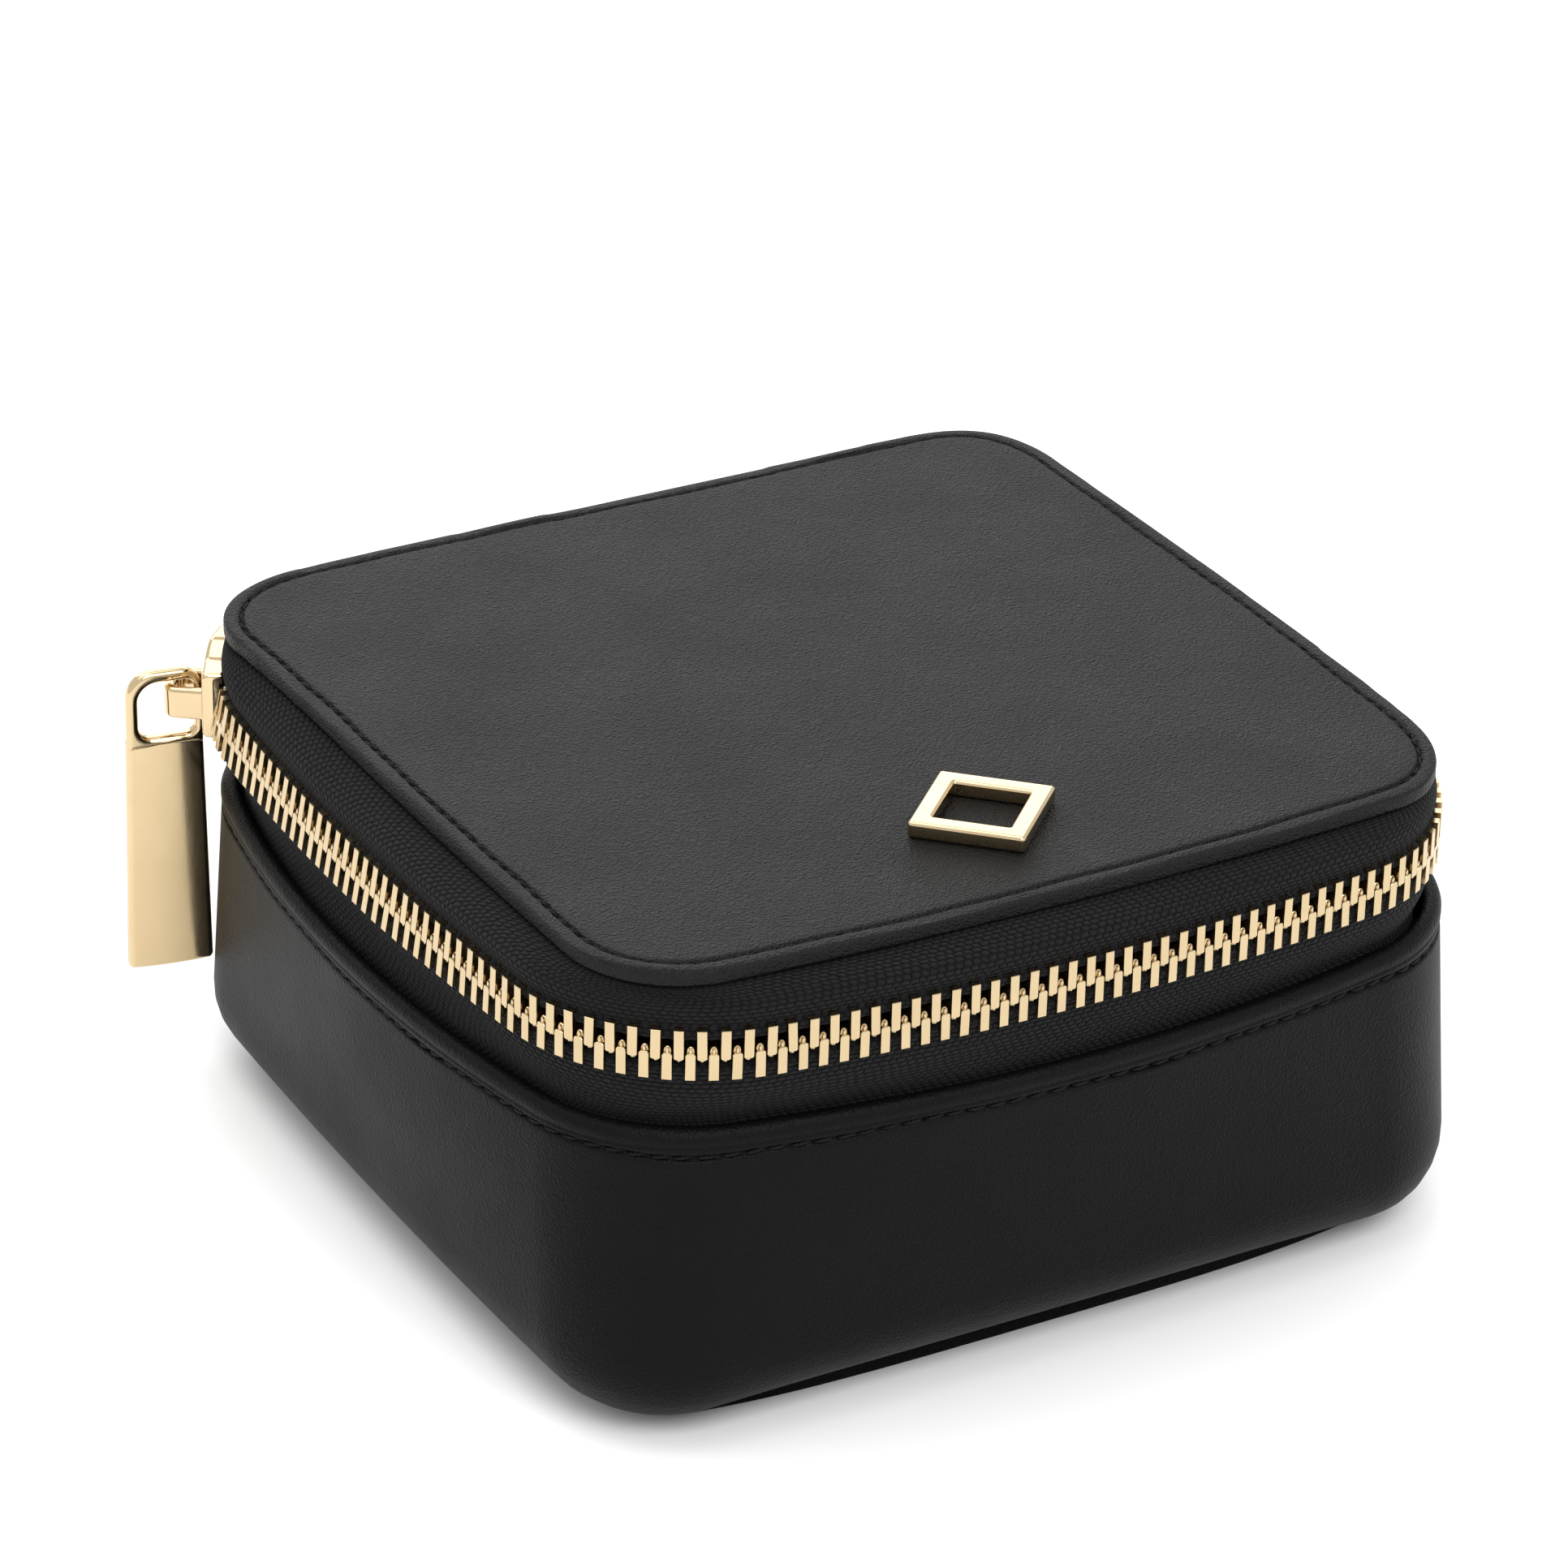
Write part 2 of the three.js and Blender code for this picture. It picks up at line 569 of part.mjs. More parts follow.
// Open lozenge emblem with two posts through the lid.
{
  const loz = (L, W) => [[-L, 0], [0, -W], [L, 0], [0, W]].map(([x, y]) => new THREE.Vector2(x, y));
  const s = new THREE.Shape(loz(BADGE.halfL, BADGE.halfW));
  const k = 1 - (BADGE.bar * Math.hypot(BADGE.halfL, BADGE.halfW)) / (BADGE.halfL * BADGE.halfW);
  s.holes.push(new THREE.Path(loz(BADGE.halfL * k, BADGE.halfW * k).reverse()));
  const g = new THREE.ExtrudeGeometry(s, { depth: BADGE.top, bevelEnabled: false });
  g.translate(BADGE.x, BADGE.y, LID_TOP_Z + 0.1);
  let badge = solid(g);
  for (const [x, y] of POSTS) badge = badge.add(solid(cyl(x, y, 1.0, BOARD_BOT - 0.8, LID_TOP_Z + 0.6)));
  add('badge', fromSolid(badge), GOLD);
}
POSTS.forEach(([x, y], i) => {
  let w = solid(cyl(x, y, 2.6, BOARD_BOT - 0.6, BOARD_BOT - 0.3, 16));
  w = w.subtract(solid(cyl(x, y, 1.05, 40, 60)));
  add(i ? 'badge_clip_right' : 'badge_clip_left', fromSolid(w), GOLD);
});

// Gathered pocket inside the lid, with an elastic top edge.
const POCKET_TOP = PAD_TOP - 2.0;
{
  const rr = (x0, x1, y0, y1, r) => {
    const s = new THREE.Shape();
    s.moveTo(x1, y1);
    s.lineTo(x0, y1);
    s.lineTo(x0, y0 + r);
    s.absarc(x0 + r, y0 + r, r, Math.PI, 1.5 * Math.PI, false);
    s.lineTo(x1 - r, y0);
    s.absarc(x1 - r, y0 + r, r, 1.5 * Math.PI, 2 * Math.PI, false);
    return s;
  };
  const g = new THREE.ExtrudeGeometry(rr(-44, 44, -43, 12, 11), { depth: 1.2, bevelEnabled: false, curveSegments: 6 });
  g.translate(0, 0, POCKET_TOP - 1.2);
  add('lid_pocket', g, SUEDE);
  add('pocket_elastic', box(-44, 44, 12.3, 15.3, POCKET_TOP - 1.5, POCKET_TOP), TWILL);
}

// ---- slider and pull tab ------------------------------------------------
const SC = [-CHAIN.cx, CHAIN.cy];
const th0 = rad(SLIDER_ANGLE);
// Slider frame: u along the chain (towards the closed side), n outward, z up;
// the body bends with the corner.
const bend = (u, n, z) => {
  const a = th0 + u / CHAIN.r;
  const R = CHAIN.r + n;
  return [SC[0] + R * Math.cos(a), SC[1] + R * Math.sin(a), zc + z];
};
const stiff = (u, n, z) => {
  const R = CHAIN.r + n;
  return [SC[0] + R * Math.cos(th0) - u * Math.sin(th0), SC[1] + R * Math.sin(th0) + u * Math.cos(th0), zc + z];
};
{
  const us = [-SLIDER_HALF_L, -3.2, -1.6, 0, 1.6, 3.2, SLIDER_HALF_L];
  // Inner half height of the channel: wide at the nose, narrow at the tail.
  const half = (u) => CHAIN_H + 0.35 + part(sliderS + u) + 0.05;
  const wing = 0.8;
  const slot = 0.85;
  const section = (u, side) => {
    const H = half(u);
    const inner = side > 0 ? PLATE_IN : -PLATE_IN;
    const outer = side > 0 ? PLATE_OUT : -BACKPLATE_OUT;
    const lip = side * slot;
    return [
      [lip, -H - wing], [outer - side * 0.5, -H - wing], [outer, -H - wing + 0.7], [outer, H + wing - 0.7], [outer - side * 0.5, H + wing], [lip, H + wing],
      [lip, H], [inner, H], [inner, -H], [lip, -H],
    ];
  };
  const plate = (side) => stationLoft(us.map((u) => section(u, side).map(([n, z]) => bend(u, n, z))), section(0, side));
  let body = solid(plate(1)).add(solid(plate(-1)));
  // Nose post between the parted chains.
  const post = stationLoft([-SLIDER_HALF_L + 0.2, -3.4, -2.2].map((u, i) => {
    const w = [0.3, 0.4, 0.15][i];
    return [[-2.3, -w], [2.3, -w], [2.3, w], [-2.3, w]].map(([n, z]) => bend(u, n, z));
  }), [[-2.3, -1], [2.3, -1], [2.3, 1], [-2.3, 1]]);
  body = body.add(solid(post));
  // Bridge: an arch along the slider with the eye beneath it.
  const b = new THREE.Shape();
  const L = 3.1;
  const R = 1.4;
  b.moveTo(-L, PLATE_OUT - 0.9);
  b.lineTo(-L + 1.1, PLATE_OUT - 0.9);
  b.lineTo(-L + 1.1, BRIDGE_TOP - BRIDGE_T);
  b.lineTo(L - 1.1, BRIDGE_TOP - BRIDGE_T);
  b.lineTo(L - 1.1, PLATE_OUT - 0.9);
  b.lineTo(L, PLATE_OUT - 0.9);
  b.lineTo(L, BRIDGE_TOP - R);
  b.absarc(L - R, BRIDGE_TOP - R, R, 0, Math.PI / 2, false);
  b.absarc(-L + R, BRIDGE_TOP - R, R, Math.PI / 2, Math.PI, false);
  const bg = new THREE.ExtrudeGeometry(b, { depth: BRIDGE_W, bevelEnabled: false, curveSegments: 4 });
  const pos = bg.attributes.position;
  for (let i = 0; i < pos.count; i++) {
    const [x, y, z] = stiff(pos.getX(i), pos.getY(i), pos.getZ(i) - BRIDGE_W / 2 + BRIDGE_Z);
    pos.setXYZ(i, x, y, z);
  }
  const plain = fixWinding(mergeVertices((() => { const q = bg.clone(); q.deleteAttribute('normal'); q.deleteAttribute('uv'); return q; })(), 1e-4));
  body = body.add(solid(plain));
  add('slider_body', fromSolid(body), GOLD);
}
{
  // Pull tab: a flat plate whose upper end is a rounded frame round the bridge.
  const n0 = PULL_AXIS_N - 0.5;
  const top = BRIDGE_W / 2 + 0.3 + 1.4;
  const bottom = -33.9;
  const s = new THREE.Shape();
  s.moveTo(n0 + 2.6, top);
  s.absarc(n0 + 2.6, top - 2.6, 2.6, Math.PI / 2, Math.PI, false);
  s.lineTo(n0 - 0.5, bottom + 0.5);
  s.lineTo(n0, bottom);
  s.lineTo(12.7, bottom);
  s.lineTo(13.2, bottom + 0.5);
  s.lineTo(12.7, top - 2.6);
  s.absarc(12.7 - 2.6, top - 2.6, 2.6, 0, Math.PI / 2, false);
  const w0 = n0 + 0.85;
  const w1 = 11.35;
  const wt = BRIDGE_W / 2 + 0.3;
  const wb = wt - 6.8;
  const q = 1.5;
  const hole = new THREE.Path();
  hole.moveTo(w0, wb + q);
  hole.absarc(w0 + q, wt - 0.9, 0.9, Math.PI, Math.PI / 2, true);
  hole.absarc(w1 - q, wt - q, q, Math.PI / 2, 0, true);
  hole.absarc(w1 - q, wb + q, q, 0, -Math.PI / 2, true);
  hole.absarc(w0 + q, wb + q, q, -Math.PI / 2, -Math.PI, true);
  s.holes.push(hole);
  const turn = rad(PULL_TURN);
  const g = new THREE.ExtrudeGeometry(s, { depth: 1.6, bevelEnabled: false, curveSegments: 5 });
  const p = g.attributes.position;
  for (let i = 0; i < p.count; i++) {
    const a = p.getX(i) - PULL_AXIS_N;
    const d = p.getZ(i) - 0.8;
    const [x, y, z] = stiff(a * Math.sin(turn) + d * Math.cos(turn), PULL_AXIS_N + a * Math.cos(turn) - d * Math.sin(turn), p.getY(i) + BRIDGE_Z);
    p.setXYZ(i, x, y, z);
  }
  g.deleteAttribute('normal');
  g.deleteAttribute('uv');
  add('pull_tab', fixWinding(mergeVertices(g, 1e-4)), GOLD);
}

export default group;
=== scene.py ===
"""Looks of the zip-round leather jewellery case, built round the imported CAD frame. Sizes inside are millimetres; meshes are written in metres."""
import math

import bmesh
import bpy
import numpy as np
from mathutils import Matrix, Vector, geometry


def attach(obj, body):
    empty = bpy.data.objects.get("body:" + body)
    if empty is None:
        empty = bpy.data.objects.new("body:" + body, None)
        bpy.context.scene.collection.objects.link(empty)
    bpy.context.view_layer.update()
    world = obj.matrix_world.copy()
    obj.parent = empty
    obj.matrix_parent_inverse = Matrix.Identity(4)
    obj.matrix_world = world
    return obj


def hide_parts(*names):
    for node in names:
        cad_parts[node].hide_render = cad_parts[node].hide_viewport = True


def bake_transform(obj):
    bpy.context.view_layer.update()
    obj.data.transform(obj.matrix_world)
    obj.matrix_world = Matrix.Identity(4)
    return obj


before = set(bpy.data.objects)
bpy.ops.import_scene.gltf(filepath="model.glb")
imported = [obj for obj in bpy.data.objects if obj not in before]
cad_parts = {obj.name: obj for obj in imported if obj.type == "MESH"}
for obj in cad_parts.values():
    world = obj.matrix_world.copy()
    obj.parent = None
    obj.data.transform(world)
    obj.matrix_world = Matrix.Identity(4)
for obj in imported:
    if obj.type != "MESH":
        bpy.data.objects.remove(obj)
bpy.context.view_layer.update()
MM = 0.001
rng = np.random.default_rng(7)

# ---- shape constants, the same as the CAD source ---------------------------
FOOT = (41.1, 39.8, 14.8, 0.4, 0.4, 0.0)
RIM = (35.5, 32.6, 20.7, 12.8, 12.8, 0.0)
CHAIN = (33.4, 31.6, 21.8, 4.9, 7.5, 0.0)
PANEL = (39.5, 38.4, 13.2, 1.4, 4.4, 0.6)
PAD = (34.5, 33.0, 13.5, 3.3, 3.2, 0.0)
RIM_Z, LEATHER_Z, EDGE_R = 38.1, 1.1, 9.7
LID_TOP, ZC = 56.5, 47.3
PITCH = 2.27
SLIDER_DEG = 144.0
FLOOR_Z = 6.9


def lerp(p, q, t):
    return tuple(a + (b - a) * t for a, b in zip(p, q))


def base_at(z):
    return lerp(FOOT, RIM, min(1.0, max(0.0, z / RIM_Z)))


def outline(spec, inset=0.0, arc=16, side=24):
    """Closed plan outline, anticlockwise from the back left corner: corner arcs and bowed sides."""
    cx, cy, r, a_s, a_f, a_b = spec
    r = max(0.4, r - inset)

    def corner(sx, sy, f, t):
        a = np.radians(np.linspace(f, t, arc + 1))
        return np.column_stack([sx * cx + r * np.cos(a), sy * cy + r * np.sin(a)])

    def bow(p0, p1, al):
        t = np.arange(1, side)[:, None] / side
        if al < 0.05:
            return p0 + (p1 - p0) * t
        ch = np.hypot(*(p1 - p0))
        u = (p1 - p0) / ch
        nr = np.array([u[1], -u[0]])
        big = ch / 2 / math.sin(math.radians(al))
        a = np.radians(-al + 2 * al * t)
        return p0 + u * (ch / 2 + big * np.sin(a)) + nr * big * (np.cos(a) - math.cos(math.radians(al)))

    bl, fl = corner(-1, 1, 90 + a_b, 180 - a_s), corner(-1, -1, 180 + a_s, 270 - a_f)
    fr, br = corner(1, -1, 270 + a_f, 360 - a_s), corner(1, 1, a_s, 90 - a_b)
    return np.vstack([bl, bow(bl[-1], fl[0], a_s), fl, bow(fl[-1], fr[0], a_f), fr, bow(fr[-1], br[0], a_s), br, bow(br[-1], bl[0], a_b)])


def zip_count(arc, side):
    return 4 * (arc + 1) + 3 * (side - 1)


LID_SHIFT = np.array([
    (-34.4, 51.7, 0.60), (-39.6, 51.6, 0.45), (-42.3, 51.3, 0.40), (-44.9, 50.5, 0.50), (-47.2, 49.1, 0.75), (-49.2, 47.3, 0.95),
    (-50.8, 45.1, 1.00), (-52.0, 42.7, 0.95), (-52.6, 40.1, 0.80), (-52.8, 36.1, 0.55), (-52.9, 31.0, 0.30), (-53.0, 25.8, 0.15),
    (-53.0, 20.0, 0.0), (-53.1, 0.0, 0.0), (-53.0, -20.0, 0.0), (-52.6, -40.0, 0.0), (-47.6, -48.8, 0.0), (-40.5, -51.6, 0.0),
    (-24.3, -52.6, 0.0), (0.0, -53.1, 0.0), (24.3, -52.6, 0.0), (35.1, -51.9, 0.0), (43.1, -51.1, -0.05), (45.5, -50.2, -0.15),
    (47.6, -48.8, -0.40), (49.5, -47.0, -0.60), (51.0, -44.9, -0.75), (52.0, -42.5, -0.80), (52.6, -40.0, -0.65), (52.8, -36.1, -0.30),
    (52.9, -31.0, -0.15), (53.0, -25.8, 0.0), (53.1, -10.0, 0.15), (53.2, 5.0, 0.20), (53.0, 25.8, 0.20), (52.8, 36.1, 0.25),
    (52.6, 40.1, 0.30), (52.0, 42.7, 0.60), (50.8, 45.1, 1.05), (49.2, 47.3, 1.50), (47.2, 49.1, 1.60), (44.9, 50.5, 1.25),
    (42.3, 51.3, 0.80), (39.6, 51.6, 0.60), (29.1, 51.7, 0.45), (13.2, 51.8, 0.25), (-2.6, 51.8, 0.25), (-13.2, 51.8, 0.50), (-26.0, 51.7, 0.65)])


def lid_pull(xy, amount=1.0):
    """The hand-made lid is drawn out at its back corners and in at its front right one."""
    d2 = (xy[:, 0][:, None] - LID_SHIFT[None, :, 0]) ** 2 + (xy[:, 1][:, None] - LID_SHIFT[None, :, 1]) ** 2
    w = np.exp(-(d2 - d2.min(1)[:, None]) / 2.4 ** 2)
    e = (w * LID_SHIFT[None, :, 2]).sum(1) / w.sum(1)
    t = np.roll(xy, -1, 0) - np.roll(xy, 1, 0)
    t /= np.linalg.norm(t, axis=1)[:, None] + 1e-9
    return xy + np.column_stack([t[:, 1], -t[:, 0]]) * (e * amount)[:, None]


def chain_pull(xy):
    """The zip runs a little tighter round the front right corner."""
    d = np.hypot(xy[:, 0] - 52.3, xy[:, 1] + 42.5)
    w = 0.75 * np.exp(-(d / 9.5) ** 2)
    return xy + np.column_stack([-0.87 * w, 0.5 * w])


# ---- mesh building ---------------------------------------------------------
def new_mesh(name, verts, faces, uvs=None, smooth=True, fix=True):
    me = bpy.data.meshes.new(name)
    me.from_pydata((np.asarray(verts, float) * MM).tolist(), [], [list(map(int, f)) for f in faces])
    if uvs is not None:
        layer = me.uv_layers.new(name="UVMap")
        layer.data.foreach_set("uv", np.asarray(uvs, np.float32).ravel())
    me.validate()
    if fix:
        bm = bmesh.new()
        bm.from_mesh(me)
        bmesh.ops.recalc_face_normals(bm, faces=bm.faces)
        bm.to_mesh(me)
        bm.free()
    me.polygons.foreach_set("use_smooth", [smooth] * len(me.polygons))
    me.update()
    ob = bpy.data.objects.new(name, me)
    bpy.context.scene.collection.objects.link(ob)
    return ob


def lofted(rows, closed=True, cap0=None, cap1=None, ring=False, s=None, v=None):
    """Rows of points (m, n, 3) joined by quads, with u along each row and v across the rows."""
    rows = np.asarray(rows, float)
    m, n = rows.shape[:2]
    if s is None:
        d = np.linalg.norm(np.roll(rows[m // 2], -1, 0) - rows[m // 2], axis=1)
        s = np.concatenate([[0], np.cumsum(d)])
    if v is None:
        mid = rows[:, n // 3]
        v = np.concatenate([[0], np.cumsum(np.linalg.norm(np.diff(mid, axis=0), axis=1)), [0]])
    faces, uvs = [], []
    for i in range(m if ring else m - 1):
        k = (i + 1) % m
        for j in range(n if closed else n - 1):
            l = (j + 1) % n
            faces.append((i * n + j, i * n + l, k * n + l, k * n + j))
            uvs += [(s[j], v[i]), (s[j + 1], v[i]), (s[j + 1], v[i + 1]), (s[j], v[i + 1])]
    verts = rows.reshape(-1, 3)
    extra = []
    for cap, i in ((cap0, 0), (cap1, m - 1)):
        if cap is None:
            continue
        c = len(verts) + len(extra)
        extra.append(rows[i].mean(0) if cap is True else np.asarray(cap, float))
        for j in range(n):
            l = (j + 1) % n
            faces.append((i * n + j, i * n + l, c))
            uvs += [(s[j], v[i]), (s[j + 1], v[i]), (s[j], v[i])]
    if extra:
        verts = np.vstack([verts, extra])
    return verts, faces, np.array(uvs) / 10.0


def row(spec, inset, z, arc, side, f=None):
    p = outline(spec, inset, arc, side)
    if f is not None:
        p = f(p)
    return np.column_stack([p, np.full(len(p), z)])


def round_poly(pts, radii, seg=6):
    """A polygon with rounded corners, as dense points."""
    pts = [np.array(p, float) for p in pts]
    out = []
    k = len(pts)
    for i in range(k):
        p, a, b, r = pts[i], pts[i - 1], pts[(i + 1) % k], radii[i]
        da, db = (a - p) / np.linalg.norm(a - p), (b - p) / np.linalg.norm(b - p)
        half = math.acos(max(-1, min(1, float(da @ db)))) / 2
        cut = r / math.tan(half)
        c = p + (da + db) / np.linalg.norm(da + db) * (r / math.sin(half))
        p0, p1 = p + da * cut, p + db * cut
        a0, a1 = math.atan2(*(p0 - c)[::-1]), math.atan2(*(p1 - c)[::-1])
        d = (a1 - a0 + math.pi) % (2 * math.pi) - math.pi
        for t in np.linspace(0, 1, seg + 1):
            out.append(c + r * np.array([math.cos(a0 + d * t), math.sin(a0 + d * t)]))
    return np.array(out)


def resample(poly, step):
    """Adds points to long edges of a closed polyline."""
    out = []
    for p, q in zip(poly, np.roll(poly, -1, 0)):
        k = max(1, int(np.linalg.norm(q - p) / step))
        for t in range(k):
            out.append(p + (q - p) * t / k)
    return np.array(out)


def offset(poly, d):
    """Moves a closed polyline inward (for anticlockwise) by d."""
    a, b = np.roll(poly, 1, 0), np.roll(poly, -1, 0)
    t1 = poly - a
    t2 = b - poly
    t1 /= np.linalg.norm(t1, axis=1)[:, None] + 1e-12
    t2 /= np.linalg.norm(t2, axis=1)[:, None] + 1e-12
    n1, n2 = np.column_stack([-t1[:, 1], t1[:, 0]]), np.column_stack([-t2[:, 1], t2[:, 0]])
    n = n1 + n2
    n /= np.linalg.norm(n, axis=1)[:, None] + 1e-12
    scale = 1 / np.clip((n * n1).sum(1), 0.5, 1)
    return poly + n * (d * scale)[:, None]


def area2(poly):
    x, y = poly[:, 0], poly[:, 1]
    return float((x * np.roll(y, -1) - np.roll(x, -1) * y).sum()) / 2


def soft_extrude(outer, holes, d0, d1, bevel, place, steps=4):
    """A plate with rounded edges: outline in (a, b), thickness from d0 to d1, put in space by place(a, b, d)."""
    loops = [outer if area2(outer) > 0 else outer[::-1]] + [h if area2(h) < 0 else h[::-1] for h in holes]
    verts, faces = [], []
    rings = []
    ang = np.linspace(0, math.pi / 2, steps + 1)
    levels = [(bevel * (1 - math.sin(a)), d0 + bevel * (1 - math.cos(a))) for a in ang]
    levels += [(i, d0 + d1 - d) for i, d in reversed(levels)]
    for lp in loops:
        ids = []
        for inset, d in levels:
            q = offset(lp, inset)
            ids.append(list(range(len(verts), len(verts) + len(q))))
            verts += [place(a, b, d) for a, b in q]
        for i in range(len(ids) - 1):
            n = len(lp)
            for j in range(n):
                l = (j + 1) % n
                faces.append((ids[i][j], ids[i][l], ids[i + 1][l], ids[i + 1][j]))
        rings.append((ids[0], ids[-1], offset(lp, levels[0][0])))
    flat = [[Vector((p[0], p[1], 0)) for p in r[2]] for r in rings]
    for side in (0, 1):
        index = [k for r in rings for k in r[side]]
        for t in geometry.tessellate_polygon(flat):
            faces.append(tuple(index[k] for k in t))
    return np.array(verts), faces


# ---- materials -------------------------------------------------------------
class Nodes:
    def __init__(self, name):
        self.mat = bpy.data.materials.new(name)
        self.mat.use_nodes = True
        self.t = self.mat.node_tree
        self.p = next(n for n in self.t.nodes if n.type == "BSDF_PRINCIPLED")
        self.out = next(n for n in self.t.nodes if n.type == "OUTPUT_MATERIAL")
        self.co = self.t.nodes.new("ShaderNodeTexCoord")

    def n(self, kind, **kw):
        nd = self.t.nodes.new(kind)
        for k, v in kw.items():
            if hasattr(nd, k):
                setattr(nd, k, v)
            else:
                nd.inputs[k.replace("_", " ")].default_value = v
        return nd

    def link(self, a, b):
        self.t.links.new(a, b)

    def noise(self, scale, detail=4.0, rough=0.55, src="Object", stretch=None):
        nd = self.n("ShaderNodeTexNoise")
        nd.inputs["Scale"].default_value = scale
        nd.inputs["Detail"].default_value = detail
        nd.inputs["Roughness"].default_value = rough
        if stretch:
            m = self.n("ShaderNodeMapping")
            m.inputs["Scale"].default_value = stretch
            self.link(self.co.outputs[src], m.inputs["Vector"])
            self.link(m.outputs["Vector"], nd.inputs["Vector"])
        else:
            self.link(self.co.outputs[src], nd.inputs["Vector"])
        return nd.outputs["Fac"]

    def voronoi(self, scale, feature="SMOOTH_F1", src="Object"):
        nd = self.n("ShaderNodeTexVoronoi")
        nd.feature = feature
        nd.inputs["Scale"].default_value = scale
        self.link(self.co.outputs[src], nd.inputs["Vector"])
        return nd.outputs["Distance"]

    def math(self, op, a, b=None, c=None):
        nd = self.n("ShaderNodeMath")
        nd.operation = op
        for i, v in enumerate((a, b, c)):
            if v is None:
                continue
            if isinstance(v, (int, float)):
                nd.inputs[i].default_value = v
            else:
                self.link(v, nd.inputs[i])
        return nd.outputs[0]

    def spread(self, x, lo, hi, a=0.0, b=1.0):
        nd = self.n("ShaderNodeMapRange")
        nd.inputs["From Min"].default_value, nd.inputs["From Max"].default_value = a, b
        nd.inputs["To Min"].default_value, nd.inputs["To Max"].default_value = lo, hi
        self.link(x, nd.inputs["Value"])
        return nd.outputs["Result"]

    def tint(self, x, dark, light):
        nd = self.n("ShaderNodeMix")
        nd.data_type = "RGBA"
        nd.inputs[6].default_value = (*dark, 1)
        nd.inputs[7].default_value = (*light, 1)
        self.link(x, nd.inputs[0])
        self.link(nd.outputs[2], self.p.inputs["Base Color"])

    def bump(self, height, distance, strength=1.0, under=None):
        nd = self.n("ShaderNodeBump")
        nd.inputs["Strength"].default_value = strength
        nd.inputs["Distance"].default_value = distance
        self.link(height, nd.inputs["Height"])
        if under is not None:
            self.link(under, nd.inputs["Normal"])
        return nd.outputs["Normal"]

    def normal(self, nrm):
        self.link(nrm, self.p.inputs["Normal"])
        return self.mat


def leather(name, dark=(0.0018, 0.0018, 0.0020), light=(0.0036, 0.0036, 0.0039), rough=(0.42, 0.52), spec=0.085, grain=1.0, pitch=1.0):
    m = Nodes(name)
    pebble = m.voronoi(2700 * pitch, "SMOOTH_F1")
    fine = m.noise(5200 * pitch, 3)
    broad = m.noise(70, 4)
    crease = m.noise(1500, 4, 0.6)
    m.tint(m.math("ADD", m.math("MULTIPLY", broad, 0.6), m.math("MULTIPLY", pebble, 0.7)), light, dark)
    m.link(m.spread(m.math("ADD", m.math("MULTIPLY", broad, 0.7), m.math("MULTIPLY", fine, 0.3)), rough[0], rough[1], 0.3, 0.7), m.p.inputs["Roughness"])
    m.p.inputs["Specular IOR Level"].default_value = spec
    b0 = m.bump(crease, 0.00016 * grain, 0.45)
    b1 = m.bump(pebble, 0.00026 * grain, 0.85, b0)
    b2 = m.bump(fine, 0.00005 * grain, 0.5, b1)
    return m.normal(b2)


def gold(name, rough=(0.10, 0.20), base=((0.60, 0.455, 0.265), (0.68, 0.535, 0.335))):
    m = Nodes(name)
    broad = m.noise(260, 3)
    hair = m.noise(1.0, 3, 0.6, stretch=(9000, 9000, 900))
    m.tint(broad, *base)
    m.p.inputs["Metallic"].default_value = 1.0
    m.link(m.spread(m.math("ADD", m.math("MULTIPLY", broad, 0.5), m.math("MULTIPLY", hair, 0.5)), rough[0], rough[1], 0.3, 0.7), m.p.inputs["Roughness"])
    b0 = m.bump(m.noise(420, 2), 0.00003, 0.25)
    return m.normal(m.bump(hair, 0.000006, 0.3, b0))


def twill(name):
    """Woven tape. U runs along the tape and V across it, in centimetres."""
    m = Nodes(name)
    sep = m.n("ShaderNodeSeparateXYZ")
    m.link(m.co.outputs["UV"], sep.inputs[0])
    u, v = m.math("MULTIPLY", sep.outputs[0], 10.0), m.math("MULTIPLY", sep.outputs[1], 10.0)
    wob = m.math("MULTIPLY", m.math("SUBTRACT", m.noise(900, 3), 0.5), 0.75)
    vv = m.math("ADD", v, m.math("MULTIPLY", wob, 0.35))
    line = m.math("FLOOR", m.math("DIVIDE", vv, 0.52))
    step = m.math("MULTIPLY", m.math("PINGPONG", line, 4.0), 0.36)
    along = m.math("ADD", m.math("ADD", u, step), wob)
    bead_u = m.math("POWER", m.math("ABSOLUTE", m.math("SINE", m.math("MULTIPLY", along, math.pi / 0.98))), 0.7)
    bead_v = m.math("POWER", m.math("ABSOLUTE", m.math("SINE", m.math("MULTIPLY", vv, math.pi / 0.52))), 0.7)
    fuzz = m.noise(3400, 5, 0.65)
    h = m.math("ADD", m.math("MULTIPLY", m.math("MULTIPLY", bead_u, bead_v), 0.9), m.math("MULTIPLY", fuzz, 0.45))
    # The colour follows the weave height: the gaps between the yarns are darkened as painted shade, and the fuzz adds
    # random tone.
    m.tint(m.spread(h, 0.0, 1.0, 0.38, 1.10), (0.0005, 0.0005, 0.0007), (0.0108, 0.0100, 0.0118))
    m.p.inputs["Roughness"].default_value = 0.82
    m.p.inputs["Specular IOR Level"].default_value = 0.10
    m.p.inputs["Sheen Weight"].default_value = 0.035
    m.p.inputs["Sheen Roughness"].default_value = 0.5
    return m.normal(m.bump(h, 0.00040, 1.0))


